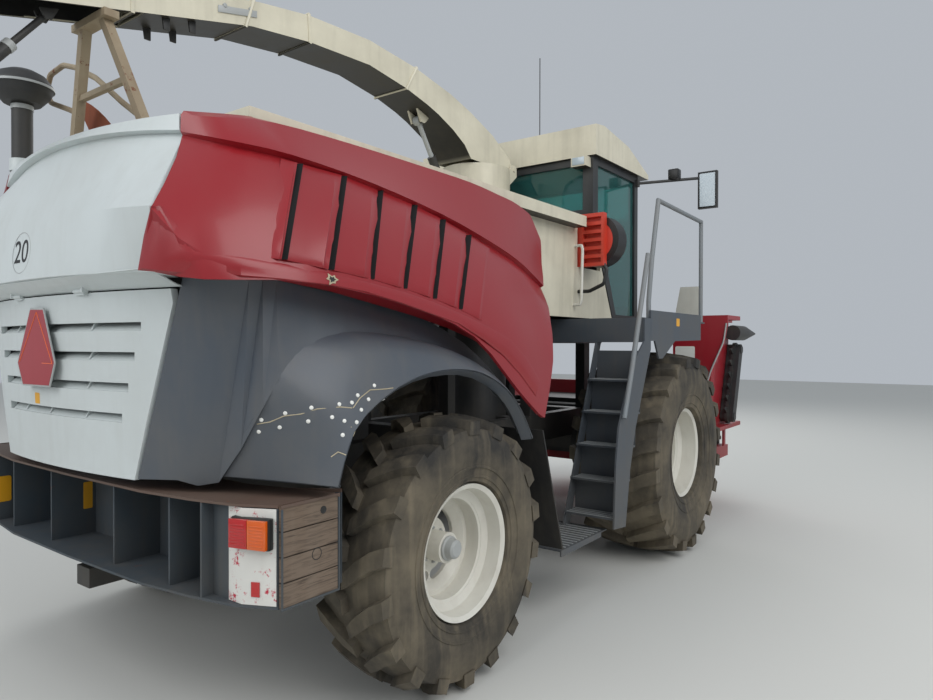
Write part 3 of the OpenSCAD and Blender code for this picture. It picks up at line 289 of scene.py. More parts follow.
def pipe(points, diameter, sides=10, soft=True):
    """A round tube through points, its ends closed and its bends soft or sharp."""
    line = bpy.data.curves.new("pipe", "CURVE")
    line.dimensions = "3D"
    line.bevel_depth = diameter / 2
    line.bevel_resolution = max(1, sides // 4)
    line.use_fill_caps = True
    line.resolution_u = 6
    if soft:
        path = line.splines.new("NURBS")
        path.order_u = 3
        path.use_endpoint_u = True
    else:
        path = line.splines.new("POLY")
    path.points.add(len(points) - 1)
    for knot, p in zip(path.points, points):
        knot.co = (*p, 1)
    piece = bpy.data.objects.new("pipe", line)
    scene.collection.objects.link(piece)
    pick(piece)
    bpy.ops.object.convert(target="MESH")
    return bpy.context.object


def turned(profile, centre, axis, steps=24):
    """A turned piece: a closed profile of (radius, distance along the axis) spun about the axis."""
    bpy.ops.mesh.primitive_circle_add(vertices=len(profile))
    piece = bpy.context.object
    along = Vector(axis).normalized()
    out = along.orthogonal().normalized()
    for v, (radius, way) in zip(piece.data.vertices, profile):
        v.co = Vector(centre) + out * radius + along * way
    opened()
    bpy.ops.mesh.spin(steps=steps, angle=2 * math.pi, center=centre, axis=along)
    bpy.ops.mesh.select_all(action="SELECT")
    bpy.ops.mesh.remove_doubles(threshold=0.00002)
    closed()
    return piece


def curved_sheet(rows, thick):
    """A sheet through rows of points, given its thickness to both sides."""
    across = len(rows[0])
    bpy.ops.mesh.primitive_grid_add(x_subdivisions=across - 1, y_subdivisions=len(rows) - 1)
    piece = bpy.context.object
    for v, p in zip(piece.data.vertices, [p for row in rows for p in row]):
        v.co = p
    wall = piece.modifiers.new("wall", "SOLIDIFY")
    wall.thickness = thick
    wall.offset = 0
    bpy.ops.object.modifier_apply(modifier="wall")
    opened()
    closed()
    return piece


# What the sight lines may meet: the CAD's nodes, and later the wheel arch skins
bpy.context.view_layer.update()
faces = dict(nodes)
# A line that meets nothing is searched this far from the camera, in centimetres
SEARCH_CM = range(200, 800, 2)


def sight(px, py):
    """The direction in which the camera looks through a pixel of the photograph."""
    turn = camera.rotation_euler.to_matrix()
    return (turn @ Vector(((px - PHOTO_W / 2) / LENS_PX, (PHOTO_H / 2 - py) / LENS_PX, -1))).normalized()


def aim(px, py, *names):
    """Where the sight line through a pixel of the photograph meets the named nodes, and the face's normal.
    A line that passes just beside them takes the nearest point of their rim."""
    ray = sight(px, py)
    hits = []
    for name in names:
        met, point, normal, _ = faces[name].ray_cast(camera.location, ray)
        if met:
            hits.append(((point - camera.location).length, point, normal))
    if not hits:
        for way in SEARCH_CM:
            stop = camera.location + ray * (way / 100)
            for name in names:
                _, point, normal, _ = faces[name].closest_point_on_mesh(stop)
                hits.append(((point - stop).length, point, normal))
    _, point, normal = min(hits, key=lambda hit: hit[0])
    return point, normal if normal.dot(ray) < 0 else -normal


def reach(px, py, *names):
    """How far the camera is from the named nodes along the sight line through a pixel."""
    return (aim(px, py, *names)[0] - camera.location).length


def face_axes(normal):
    """The level direction along a face, and the one up it."""
    side = Vector((0, 0, 1)).cross(normal).normalized()
    return side, normal.cross(side)


def label(px, py, width, height, name, look, body, slot, *names, lift=0.0006):
    """A blank sticker, its corners rounded, on the face that a pixel of the photograph shows."""
    point, normal = aim(px, py, *names)
    side, rise = face_axes(normal)
    corner = min(width, height) * 0.12
    outline = []
    for sx, sy, start in ((1, 1, 0), (-1, 1, 90), (-1, -1, 180), (1, -1, 270)):
        for step in (0, 45, 90):
            a = math.radians(start + step)
            across = sx * (width / 2 - corner) + corner * math.cos(a)
            up = sy * (height / 2 - corner) + corner * math.sin(a)
            outline.append(point + side * across + rise * up + normal * 0.0001)
    return settle(plate(outline, normal * lift), name, look, body, angle=60)


black_paint = painted("black_chassis_paint", "242628", "5d574d", rough=0.5, dusty=0.35, mud=0.6, rust=0.35)
wear(black_paint, "chassis", "front_axle", "rear_axle", "feeder", "mirrors", "antenna", "condenser_fan",
     "intake_stack", "spout_flap", "lift_barrel", "header_lift_barrels")
cast_paint = painted("cast_housing_paint", "4a4d50", "6b6052", rough=0.6, dusty=0.45, mud=0.7, rust=0.4)
wear(cast_paint, "knuckle_left", "knuckle_right", "engine")
tin = painted("galvanised_steel", "a9adad", "7d7466", rough=0.35, dusty=0.25, mud=0.2, rust=0.3)
# Black plastic, also used for sheets and discs of painted shade in slots and holes
black_plastic_and_painted_shade = painted("black_plastic_and_painted_shade", "141516", "4f4c47", rough=0.4, dusty=0.15)
yellow_film = painted("yellow_sticker_film", "e0a21a", "7a6e50", rough=0.4, dusty=0.15)

# Tyres: black natural rubber over steel cord, gone grey on the walls, with
# moulded rings round the wall that guard the rim.
tyre_rubber = painted("tyre_rubber", "18191b", "756b59", rough=0.75, dusty=0.8, mud_top=1.9, mud=0.45, grain=0.0012)
wear(tyre_rubber, "front_tyre_left", "front_tyre_right", "rear_tyre_left", "rear_tyre_right")
flap_rubber = painted("flap_rubber", "1d1e20", "5d574d", rough=0.8, dusty=0.3, mud=0.5)
wear(flap_rubber, "mud_flaps")
# Rings: columns are radius, distance out from the wheel's middle plane
WALL_RINGS = {"front": ((0.402, 0.3236), (0.470, 0.3412)), "rear": ((0.368, 0.1948), (0.415, 0.2052))}
# A ring's section about that place
RING = ((-0.009, -0.004), (-0.004, 0.004), (0.004, 0.005), (0.009, -0.001))


def tyre_middle(end, side):
    """The middle of a tyre, where its middle plane meets the axle."""
    low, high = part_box(f"{end}_tyre_{side}")
    return (Vector(low) + Vector(high)) / 2


for end in WALL_RINGS:
    for side, s in SIDES:
        middle = tyre_middle(end, side)
        rings = [turned([(r + a, y + b) for a, b in RING], middle, (0, s, 0), 72) for r, y in WALL_RINGS[end]]
        settle(rings, f"{end}_{side}_wall_rings", tyre_rubber, f"{end}_wheel_{side}")

# Wheels: pressed steel discs and rolled rims under white enamel, held by
# zinc nuts, the rear ones with a turned cap on the hub that has begun to rust.
rim_enamel = painted("rim_enamel", "dcdad0", "8a7a66", rough=0.35, dusty=0.2, mud_top=1.5, mud=0.2, rust=0.1)
wear(rim_enamel, "front_wheel_left", "front_wheel_right", "rear_wheel_left", "rear_wheel_right")
# Nuts: count, circle radius, seat out from the middle plane, nut radius
NUTS = {"front": (12, 0.122, -0.020, 0.015), "rear": (8, 0.0865, -0.040, 0.009)}
# The rear hub's cap on its flange: radius, distance out from the middle plane
HUB_CAP = ((0, 0.1105), (0.043, 0.1105), (0.0565, 0.0605), (0.0605, 0.0605), (0.0605, 0.070), (0.052, 0.076),
           (0.046, 0.108), (0.034, 0.117), (0, 0.117))
for end, (count, circle, seat, size) in NUTS.items():
    nut = [(0, -0.001), (size, -0.001), (size, size * 0.8), (size * 0.55, size), (size * 0.5, size * 1.5),
           (0, size * 1.5)]
    for side, s in SIDES:
        middle = tyre_middle(end, side)
        out = Vector((0, s, 0))
        nuts = []
        for i in range(count):
            a = i * 2 * math.pi / count
            spot = middle + Vector((circle * math.cos(a), 0, circle * math.sin(a))) + out * seat
            nuts.append(turned(nut, spot, out, 6))
        if end == "rear":
            nuts.append(turned(HUB_CAP, middle, out, 32))
        settle(nuts, f"{end}_{side}_wheel_nuts", tin, f"{end}_wheel_{side}")

# Rear beam: a folded plate channel in blue-grey paint, its top rusted, with
# lamps on white plates and an end of old oak boards in a steel edge.
beam_paint = painted("beam_paint", "35424c", "5d564c", rough=0.6, dusty=0.35, mud=0.5, rust=0.45,
                     above=(1.071, "5b473d"))
wear(beam_paint, "rear_beam")
old_oak = painted("old_oak_board", "6b5a4b", "84776a", rough=0.9, dusty=0.4, mud=0.2, bands=(0.094, 0.705, "271d17"))
wear(old_oak, "beam_boards")
lamp_plate_paint = painted("sprayed_lamp_plate", "d9d8d2", "8a8274", rough=0.45, dusty=0.15, mud=0.1, rust=0.85,
                           chip="b3203c")
red_lens = painted("red_acrylic_lens", "b01414", "5a3028", rough=0.12, dusty=0.05, coat=0.6)
amber_lens = painted("amber_acrylic_lens", "d35a0c", "6a4426", rough=0.12, dusty=0.05, coat=0.6)
# The lamp plate lies flat on the beam, then folds forward to its end: x and y of its inner edge, fold and outer edge
PLATE_IN, PLATE_FOLD, PLATE_OUT = Vector((-1143.5, 1074)), Vector((-1143.5, 1152)), Vector((-1084, 1276))
# Its section from above, its foot, and its height in metres
PLATE_RUN = ((-1140.5, 1074), (-1143.5, 1074), (-1143.5, 1152), (-1084, 1276), (-1081.3, 1274.7), (-1140.5, 1151.3))
PLATE_Z, PLATE_HEIGHT = 714, 0.356
# Lenses: colour, finish, and the shares of the plate between which they lie
LENSES = (("red", red_lens, 0.175, 0.55), ("amber", amber_lens, 0.56, 0.93))
LENS_EDGE = 0.03
# The steel edge round the boards: x and z of two opposite corners of each strap
BOARD_END = 1300.4
STRAPS = ((-1082, 1074, -796, 1086), (-1082, 700, -796, 709), (-1082, 709, -1074, 1074), (-804, 709, -796, 1074))


def on_plate(s, share, z, lift, start=PLATE_IN):
    """A point at a share of the way from one edge of the lamp plate to its outer edge, lifted off it to the rear."""
    flat = start.lerp(PLATE_OUT, share)
    along = (PLATE_OUT - start).normalized()
    return at(flat.x - along.y * lift, s * (flat.y + along.x * lift), z)


for side, s in SIDES:
    bent = [at(x, s * y, PLATE_Z) for x, y in PLATE_RUN]
    settle(plate(bent, (0, 0, PLATE_HEIGHT)), f"lamp_plate_{side}", lamp_plate_paint)
    housing = [on_plate(s, share, z, 2) for share, z in rect(0.16, 0.96, 922, 1038)]
    away = on_plate(s, 0, 0, 3) - on_plate(s, 0, 0, 0)
    box = settle(plate(housing, away * 10), f"lamp_housing_{side}", black_plastic_and_painted_shade, bevel=0.005)
    if s < 0:
        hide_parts("tail_lamps")
    for colour, look, a, b in LENSES:
        ribs = [plate([on_plate(s, share, z, 48) for share, z in rect(a + LENS_EDGE, b - LENS_EDGE, k, k + 5)], away)
                for k in range(939, 1018, 12)]
        lens = plate([on_plate(s, share, z, 31) for share, z in rect(a, b, 927, 1033)], away * 6)
        settle([lens] + ribs, f"{colour}_lens_{side}", look, bevel=0.004)
    reflector = [on_plate(s, share, z, 0.5, PLATE_FOLD) for share, z in rect(0.29, 0.53, 745, 799)]
    settle(plate(reflector, away), f"red_reflector_{side}", red_lens)
    straps = [plate([at(x, s * BOARD_END, z) for x, z in rect(x0, x1, z0, z1)], (0, s * 0.004, 0))
              for x0, z0, x1, z1 in STRAPS]
    settle(straps, f"board_edge_{side}", beam_paint, bevel=0.0008)
label(88, 495, 0.045, 0.135, "beam_sticker", yellow_film, "machine", "beam_paint", "rear_beam")
label(2, 489, 0.09, 0.14, "rear_number_board", yellow_film, "machine", "beam_paint", "rear_beam", lift=0.002)
# A black disc with a raised rim: painted shade in the bolt hole
BOLT_HOLE = ((0, 0.0004), (0.015, 0.0004), (0.015, 0.0015), (0.012, 0.0015), (0.011, 0.0006), (0, 0.0006))
hole_shade_disc = turned(BOLT_HOLE, *aim(323.4, 509.6, "beam_boards"))
settle(hole_shade_disc, "board_bolt_hole_shade", black_plastic_and_painted_shade)
knot = turned(rect(0.021, 0.024, 0.0002, 0.001), *aim(316.8, 553.6, "beam_boards"))
settle(knot, "board_knot_ring", black_plastic_and_painted_shade)

# Hood and grille: hand-laid glass fibre with a white gel coat, the grille
# with four rows of inward louvres, a speed sticker and a slow-vehicle board.
white_gel = painted("white_gel_coat", "c9d0d0", "8f8a7e", rough=0.4, dusty=0.14, mud=0.25, mud_top=2, coat=0.15)
wear(white_gel, "rear_hood", "grille_door")
# The grille's face: columns are height, x at the middle; it bows forward by GRILLE_BOW of y squared
GRILLE_FACE = ((1885, -1330), (1830, -1327), (1360, -1310), (1125, -1300))
GRILLE_BOW = 0.00012
# Louvres: the rows' heights, and sections of blade and rib as depth behind the face and rise over the row
LOUVRE_TOPS = (1760, 1640, 1515, 1390)
LOUVRE = ((74, 8), (58, 0), (32, -18), (14, -37))
LOUVRE_RIB = ((70, 2), (30, 2), (14, -30), (40, -26))


def grille_x(y, z):
    """The x of the grille's outer face, in millimetres from the rear axle."""
    for (z1, x1), (z0, x0) in zip(GRILLE_FACE, GRILLE_FACE[1:]):
        if z >= z0:
            break
    return x0 + (x1 - x0) * (z - z0) / (z1 - z0) + GRILLE_BOW * y * y


def louvre_line(y, top, section):
    """The points of a section of the louvres at y."""
    return [at(grille_x(y, top) + deep, y, top + up) for deep, up in section]


blades = []
for i, top in enumerate(LOUVRE_TOPS):
    half = 677 - i * 45
    across = [half * (k / 12 - 1) for k in range(25)]
    blades.append(curved_sheet([louvre_line(y, top, LOUVRE) for y in across], 0.002))
    for y in (-half * 0.5, half * 0.1, half * 0.62):
        blades.append(plate(louvre_line(y, top, LOUVRE_RIB), (0, 0.012, 0)))
settle(blades, "grille_louvres", white_gel, "grille_door")
mesh_rows = [[at(grille_x(y, z) + 79, y, z) for z in (1780, 1700, 1500, 1345)] for y in range(-680, 681, 85)]
settle(curved_sheet(mesh_rows, 0.003), "grille_screen", black_plastic_and_painted_shade, "grille_door")
sticker_ink = painted("black_sticker_ink", "1c1d1f", "55524c", rough=0.5, dusty=0.1)
point, normal = aim(21.5, 253, "rear_hood")
ring = turned(rect(0.090, 0.093, 0.0002, 0.0010), point, normal, 48)
settle(ring, "speed_sticker_edge", tin)
bpy.ops.object.text_add()
digits = bpy.context.object.data
digits.body = "20"
digits.size = 0.145
digits.extrude = 0.0004
digits.align_x = digits.align_y = "CENTER"
bpy.ops.object.convert(target="MESH")
figures = bpy.context.object
side, rise = face_axes(normal)
for v in figures.data.vertices:
    v.co = point + side * v.co.x + rise * v.co.y + normal * (v.co.z + 0.0008)
settle(figures, "speed_sticker_20", sticker_ink, angle=60)
label(37.5, 398, 0.055, 0.050, "grille_sticker", yellow_film, "grille_door", "hood_white", "grille_door")
board_red = painted("board_reflective_red", "9d1a26", "6a4038", rough=0.35, dusty=0.08, mud=0.1, mud_top=2, coat=0.3)
# The slow-vehicle board: y and z of its corners and of its middle
BOARD = ((129, 1836), (-4, 1832), (-118, 1589), (-66, 1483), (212, 1481), (270, 1583))
BOARD_MIDDLE = Vector((73, 1640))
sign_rim = plate([at(-1343, y, z) for y, z in BOARD], (-0.006, 0, 0))
settle(sign_rim, "slow_sign_edge", tin, "grille_door", bevel=0.001)
face = [BOARD_MIDDLE.lerp(Vector(p), 0.955) for p in BOARD]
sign = plate([at(-1348.5, p.x, p.y) for p in face], (-0.0015, 0, 0))
settle(sign, "slow_vehicle_sign", board_red, "grille_door")
stem = plate([at(-1312, y, z) for y, z in rect(40, 100, 1700, 1560)], (-0.032, 0, 0))
settle(stem, "sign_stem", black_plastic_and_painted_shade, "grille_door", bevel=0.003)
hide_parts("warning_board")
line_orange = painted("orange_reflective_line", "e0662c", "8a6048", rough=0.35, dusty=0.1)
apex, left_foot, right_foot = at(-1350, 62, 1815), at(-1350, 243, 1590), at(-1350, -95, 1586)
lines = [pipe([a, b], 0.004, soft=False) for a, b in
         ((apex, left_foot), (apex, right_foot), (right_foot, right_foot.lerp(left_foot, 0.3)))]
settle(lines, "sign_triangle", line_orange, "grille_door")
# The lip from the hood's foot down to the grille's head: columns are x at the middle, bow, share of the width, z
HOOD_LIP = ((-1402, 0.000023, 0.99, 1947), (-1376, 0.00008, 0.975, 1924), (-1340, 0.000102, 0.975, 1899),
            (-1318, 0.000102, 0.975, 1893))
lip_rows = [[at(x + bow * y * y, y * share, z) for x, bow, share, z in HOOD_LIP]
            for y in (77.5 * k for k in range(-12, 13))]
settle(curved_sheet(lip_rows, 0.004), "hood_foot_lip", white_gel)

# Side panels: moulded glass fibre in red gel coat, hinged along the top, with
# painted shade in the slots as black strips and a black sheet behind them, and a torn place at the lip.
red_gel = painted("red_gel_coat", "8c0c18", "7a5048", rough=0.36, dusty=0.058, mud_top=2, coat=0.25)
wear(red_gel, "side_panel_left", "side_panel_right")
# The panel's face between brow and belly: columns are x, y, z of the upper and of the lower point
PANEL_FACE = ((-1112, 1040, 2425, -1330, 1200, 1985), (-912, 1140, 2400, -1000, 1345, 1965),
              (-500, 1155, 2370, -500, 1370, 1895), (0, 1160, 2305, 0, 1375, 1805), (400, 1158, 2225, 400, 1375, 1690))
# Down the black sheet of painted shade behind the slots: share of the way, and bulge; then how far it lies inside the
# face and below it
SLOT_SHADE_SHEET = ((0, 0), (0.34, 26), (0.7, 21), (1, 0))
SLOT_SHADE_SHEET_IN, SLOT_SHADE_SHEET_DOWN = 21, 9
for side, s in SIDES:
    rows = []
    for x1, y1, z1, x0, y0, z0 in PANEL_FACE:
        rows.append([at(x1 + (x0 - x1) * t, s * (y1 + (y0 - y1) * t + bulge - SLOT_SHADE_SHEET_IN),
                        z1 + (z0 - z1) * t - SLOT_SHADE_SHEET_DOWN) for t, bulge in SLOT_SHADE_SHEET])
    settle(curved_sheet(rows, 0.003), f"slot_shade_sheet_{side}", black_plastic_and_painted_shade, f"side_panel_{side}")


def sided(rows, s):
    """Rows of points as they lie on the right side (s = -1) or mirrored to the left."""
    return [[Vector((p.x, -s * p.y, p.z)) for p in row] for row in rows]


# Painted shade: black strips laid just off the panel's face over its slots, where the slots' shade falls
painted_slot_shade = painted("black_painted_slot_shade", "060607", "141414", rough=0.95, dusty=0.1)
# Slots as the photograph shows them: top and bottom pixel of each
SLOTS = (((299.7, 163.7), (284.1, 259.6)), ((343.9, 175.9), (330.9, 269.7)), ((380, 190.4), (371.1, 279)),
         ((414.2, 205), (403.9, 288.5)), ((442.5, 219.5), (433.6, 298.5)), ((468.2, 235), (459.3, 309)))
# The blades lie between these: the panel's rear end, the slots and its front end
EDGES = [((281, 158.5), (264.5, 257.5)), *SLOTS, ((492, 250), (484, 322))]
BLADES = range(len(EDGES) - 1)


def blade_spot(i, u, v):
    """The pixel at shares u across and v down between edges i and i + 1."""
    (ax, ay), (cx, cy) = EDGES[i]
    (bx, by), (dx, dy) = EDGES[i + 1]
    return ((ax + (bx - ax) * u) * (1 - v) + (cx + (dx - cx) * u) * v,
            (ay + (by - ay) * u) * (1 - v) + (cy + (dy - cy) * u) * v)


# Where the face is sounded, clear of the CAD's slots and brow
LEFT, RIGHT = 0.35, 0.65
HIGH, MID, LOW = 0.2, 0.55, 0.9
FACE_REACH = [[[reach(*blade_spot(i, u, v), "side_panel_right") for u in (LEFT, RIGHT)] for v in (HIGH, MID, LOW)]
              for i in BLADES]
# RIGHT - LEFT, and the parabola's divisors (MID - HIGH) * (LOW - HIGH) and (MID - HIGH) * (LOW - MID)
SPAN, END_WEIGHT, MID_WEIGHT = 0.3, 0.245, 0.1225


def face_reach(i, u, v):
    """How far the face lies between edges i and i + 1, straight across and in a parabola down."""
    high, mid, low = (left + (right - left) * (u - LEFT) / SPAN for left, right in FACE_REACH[i])
    return (high * (v - MID) * (v - LOW) / END_WEIGHT - mid * (v - HIGH) * (v - LOW) / MID_WEIGHT
            + low * (v - HIGH) * (v - MID) / END_WEIGHT)


DOWN = (0, 0.05, 0.12, 0.2, 0.3, 0.45, 0.6, 0.75, 0.9, 0.97, 1)
# Half a slot's foot and the gap beside it, in pixels; how far slots and blades lie off the face
SLOT_HALF, SLIT, SLOT_OFF, BLADE_OFF = 3.6, 2.4, 0.0025, 0.003
slot_rows = []
for i in BLADES[1:]:
    slot_rows.append([])
    for v in DOWN:
        x, y = blade_spot(i, 0, v)
        far = min(face_reach(i, 0, v), face_reach(i - 1, 1, v)) - SLOT_OFF
        slot_rows[-1].append([camera.location + sight(x + k, y) * far for k in (-SLOT_HALF, 0, SLOT_HALF)])
# Across a blade: share of its width, and how far it stands off the slot's foot
BLADE = ((0, 0.004), (0.4, 0.010), (0.84, 0.018), (0.865, 0.019), (0.89, 0.012), (1, 0.012))
# How far the first blade's rear edge is sunk in the panel
SUNK = 0.010
blade_rows = []
for i in BLADES:
    slit = SLIT / (EDGES[i + 1][0][0] - EDGES[i][0][0])
    grid = []
    for share, lift in BLADE:
        u = slit * (i > 0) + share * (1 - slit * (2 if i else 1))
        if not i:
            lift = (lift + SUNK) * share - SUNK
        line = []
        for v in DOWN:
            # The lift dies away toward the blade's ends
            stand = lift * min(1, 0.12 + v / 0.14) * min(1, 0.3 + (1 - v) / 0.06)
            line.append(camera.location + sight(*blade_spot(i, u, v)) * (face_reach(i, u, v) - BLADE_OFF - stand))
        grid.append(line)
    blade_rows.append(grid)
# The flange round the panel's foot: pixels of its ridge, and of the panel's edge below
RIDGE = ((161.3, 206), (175.8, 223.9), (187, 245.5), (196, 251.8), (240.5, 257.3), (280.7, 263.4), (327.6, 272.6),
         (365.5, 281.7), (403.5, 291.8), (432.5, 301.8), (459.3, 313), (488, 326.5), (510, 339), (527, 358),
         (540, 380))
FOOT = ((151.3, 206), (144, 236), (138, 270.2), (176, 273.5), (241, 276.5), (281, 279.5), (328, 285), (366, 292),
        (404, 304), (433, 314.5), (459, 324), (484, 340), (503, 355), (520, 374), (536, 396))
# Across the flange: share of the way from ridge to foot, and how far it stands off the panel
FLANGE = ((0, 0.0015), (0.14, 0.008), (0.5, 0.009), (0.92, 0.009), (1, 0.003))
spots = [[(rx + (fx - rx) * t, ry + (fy - ry) * t) for t, _ in FLANGE] for (rx, ry), (fx, fy) in zip(RIDGE, FOOT)]
raw = [[reach(*spot, "side_panel_right", "rear_hood") for spot in row] for row in spots]
smooth = raw
for _ in range(3):
    inner = [[(a + 2 * b + c) / 4 for a, b, c in zip(*three)] for three in zip(smooth, smooth[1:], smooth[2:])]
    smooth = [smooth[0], *inner, smooth[-1]]
flange_rows = [[camera.location + sight(*spot) * (min(d, near) - lift)
                for spot, d, near, (_, lift) in zip(row, line, first, FLANGE)]
               for row, line, first in zip(spots, smooth, raw)]
# The lip under the panel: columns are x, y, z of its outer edge
LIP = ((-1325, 1196, 1988), (-1160, 1280, 1978), (-1000, 1340, 1962), (-760, 1362, 1935), (-500, 1368, 1893),
       (-250, 1372, 1851), (0, 1374, 1800), (200, 1374, 1748), (400, 1374, 1684))
for side, s in SIDES:
    node = f"side_panel_{side}"
    slots = [curved_sheet(sided(rows, s), 0.001) for rows in slot_rows]
    settle(slots, f"panel_slots_{side}", painted_slot_shade, node)
    blades = [curved_sheet(sided(rows, s), 0.002) for rows in blade_rows]
    settle(blades, f"panel_blades_{side}", red_gel, node)
    settle(curved_sheet(sided(flange_rows, s), 0.002), f"panel_flange_{side}", red_gel, node)
    lip_rows = [[at(x, s * y, z), at(x, s * (y - 70), z - 18), at(x + 6, s * (y - 163), z - 44)] for x, y, z in LIP]
    settle(curved_sheet(lip_rows, 0.003), f"panel_lip_{side}", red_gel, node)
torn_resin = painted("torn_glass_fibre", "b9ae93", "6a5c48", rough=0.9, dusty=0.4)
point, normal = aim(331, 280, "side_panel_right")
side, rise = face_axes(normal)
# The torn place: its ragged edge at every 30 degrees, and how far it stands off the panel
TEAR = (1, 0.62, 0.9, 0.55, 1.15, 0.7, 0.95, 0.5, 1.2, 0.66, 0.8, 0.58)
TEAR_OFF = 0.0085
# The inner black star is painted shade in the hole; the outer star is torn glass fibre
for name, size, look, lift in (("lip_tear", 0.030, torn_resin, 0.0008),
                               ("lip_tear_hole_shade", 0.017, black_plastic_and_painted_shade, 0.0014)):
    star = []
    for k, r in enumerate(TEAR):
        a = k * math.pi / 6
        star.append(point + side * math.cos(a) * size * r + rise * math.sin(a) * size * 0.75 * r)
    tear = plate([p + normal * TEAR_OFF for p in star], normal * lift)
    settle(tear, name, look, "side_panel_right", angle=60)

# Lower panels and wheel arches: grey gel coat, cracked over the right rear
# wheel and drawn together with rivets.
grey_gel = painted("grey_gel_coat", "484f58", "787061", rough=0.42, dusty=0.22, mud=0.4, mud_top=1.6, coat=0.1)
wear(grey_gel, "lower_panels")
# The wheel arch: columns are x, y, z of its seam with the panel, and of its edge round the wheel
ARCH = ((-1080, 920, 1152, -880, 1385, 1132), (-1065, 1180, 1460, -800, 1385, 1330),
        (-950, 1210, 1630, -640, 1385, 1450), (-735, 1230, 1715, -420, 1385, 1530),
        (-450, 1240, 1712, -180, 1385, 1555), (-150, 1240, 1665, 60, 1385, 1530),
        (180, 1240, 1550, 280, 1385, 1440), (440, 1250, 1380, 430, 1385, 1310), (600, 1270, 1175, 530, 1385, 1160))
ACROSS_ARCH = (0, 0.1, 0.22, 0.36, 0.5, 0.64, 0.78, 0.9, 1)
# A point within the wheel, which the skin bulges away from
WITHIN_WHEEL = at(-200, -1300, 900)


def through(knots, i, t):
    """A smooth run through the columns of knots, a share t of the way from row i to the next."""
    last = len(knots) - 1
    a, b, c, d = (knots[min(max(k, 0), last)] for k in (i - 1, i, i + 1, i + 2))
    return [q + t / 2 * (r - p + t * (2 * p - 5 * q + 4 * r - w + t * (3 * (q - r) + w - p)))
            for p, q, r, w in zip(a, b, c, d)]


arch_rows = []
for i in range(len(ARCH) - 1):
    # The last stretch also has its end
    for step in range(4 if i < len(ARCH) - 2 else 5):
        row = through(ARCH, i, step / 4)
        seam, edge = at(row[0], -row[1], row[2]), at(row[3], -row[4], row[5])
        run = edge - seam
        out = seam.lerp(edge, 0.5) - WITHIN_WHEEL
        out = (out - run * out.dot(run) / run.length_squared).normalized()
        if out.y > 0:
            out = -out
        arch_rows.append([seam.lerp(edge, t) + out * (0.004 + 0.026 * math.sin(math.pi * t)) for t in ACROSS_ARCH])
for side, s in SIDES:
    skin_name = f"wheel_arch_skin_{side}"
    faces[skin_name] = settle(curved_sheet(sided(arch_rows, s), 0.003), skin_name, grey_gel)
bpy.context.view_layer.update()
ARCH_FACES = ("wheel_arch_skin_right", "lower_panels")
RIVETS = ((261.4, 419.9), (258.8, 431.8), (285.2, 413.3), (279.7, 427.4), (311.4, 407.7), (308.3, 421.4),
          (339.3, 404.2), (332.1, 417.2), (344.4, 420.9), (342.7, 435), (351.9, 402.6), (357.7, 395.3),
          (361.3, 409.8), (356.7, 422.2), (368.5, 399.3), (374.3, 385.5), (384.8, 403.1))
RIVET = ((0, -0.001), (0.0085, -0.001), (0.0075, 0.0022), (0.0045, 0.0036), (0, 0.004))
heads = [turned(RIVET, *aim(px, py, *ARCH_FACES), 12) for px, py in RIVETS]
rivet_white = painted("painted_rivet", "e6e6e0", "a09a8c", rough=0.3, dusty=0.05)
settle(heads, "fender_rivets", rivet_white)
CRACKS = (((257, 424), (270, 422), (284, 416), (301, 414), (317, 409), (340, 407), (352, 408)),
          ((353, 408), (360, 398), (370, 390), (386, 389), (393, 388)), ((351, 427), (357, 433), (359, 438)),
          ((331, 457), (338, 452), (346, 455)))
seams = []
for row in CRACKS:
    points = []
    for px, py in row:
        point, normal = aim(px, py, *ARCH_FACES)
        points.append(point + normal * 0.0003)
    seams.append(pipe(points, 0.0045, soft=False))
settle(seams, "fender_cracks", torn_resin)

# Platform, ladders and rails: folded steel in grey paint worn to metal on the
# treads, with ribs welded across them.
grey_paint = painted("grey_step_paint", "464d55", "6e675b", rough=0.5, dusty=0.3, mud=0.5, mud_top=1.4, rust=0.3)
wear(grey_paint, "platform", "ladders")
rail_paint = painted("rail_paint", "767d82", "8a7a66", rough=0.45, dusty=0.25, mud=0.2, rust=0.2)
wear(rail_paint, "handrails")
label(678, 322.5, 0.07, 0.06, "platform_sticker", yellow_film, "machine", "panel_grey", "platform")
# Ribs on the five treads and on the long step: x, inner and outer y, z, width
TREAD_RIBS = [(1480 + i * 84 + k * 40, 1090, 1430, 542 + i * 221, 8) for i in range(5) for k in range(4)]
TREAD_RIBS += [(955 + k * 48, 1010, 1335, 448, 9) for k in range(12)]
for side, s in SIDES:
    ribs = [plate([at(x, s * y, z) for x, y in rect(start, start + wide, y0, y1)], (0, 0, 0.004))
            for start, y0, y1, z, wide in TREAD_RIBS]
    settle(ribs, f"tread_ribs_{side}", tin)
# Cream enamel with painted shade, near black, on every face that faces down
cream_enamel_shaded_below = painted("cream_enamel_shaded_below", "d8d2bd", "5d5546", rough=0.4, dusty=0.255, rust=0.14,
                       chip="2c2620", painted_shade_below="1b1a18")
GRAB = ((2048, -849, 2425), (2048, -905, 2425), (2046, -915, 2395), (2026, -915, 2005), (2024, -905, 1975),
        (2024, -849, 1975))
settle(pipe([at(*p) for p in GRAB], 0.022, 12), "grab_handle", rim_enamel)

# Deck and cab: steel sheet in cream and black, tinted safety glass set in
# rubber, a cloth seat, and a steering wheel on its column.
wear(cream_enamel_shaded_below, "deck", "cab_roof", "turret", "spout", "work_lamps")
cab_paint = painted("cab_frame_paint", "232629", "5f5a50", rough=0.4, dusty=0.2, mud=0.1)
wear(cab_paint, "cab_shell", "cab_door")
seat_cloth = painted("seat_cloth", "33353a", "5f584e", rough=0.95, dusty=0.15, grain=0.0004)
# A cushion's shape in shares: rounded toward a ball, sides drawn in at their middles, depth and width of grooves
ROUNDED, DRAWN_IN, GROOVE_DEEP, GROOVE_WIDE = 0.38, 0.03, 0.12, 0.035


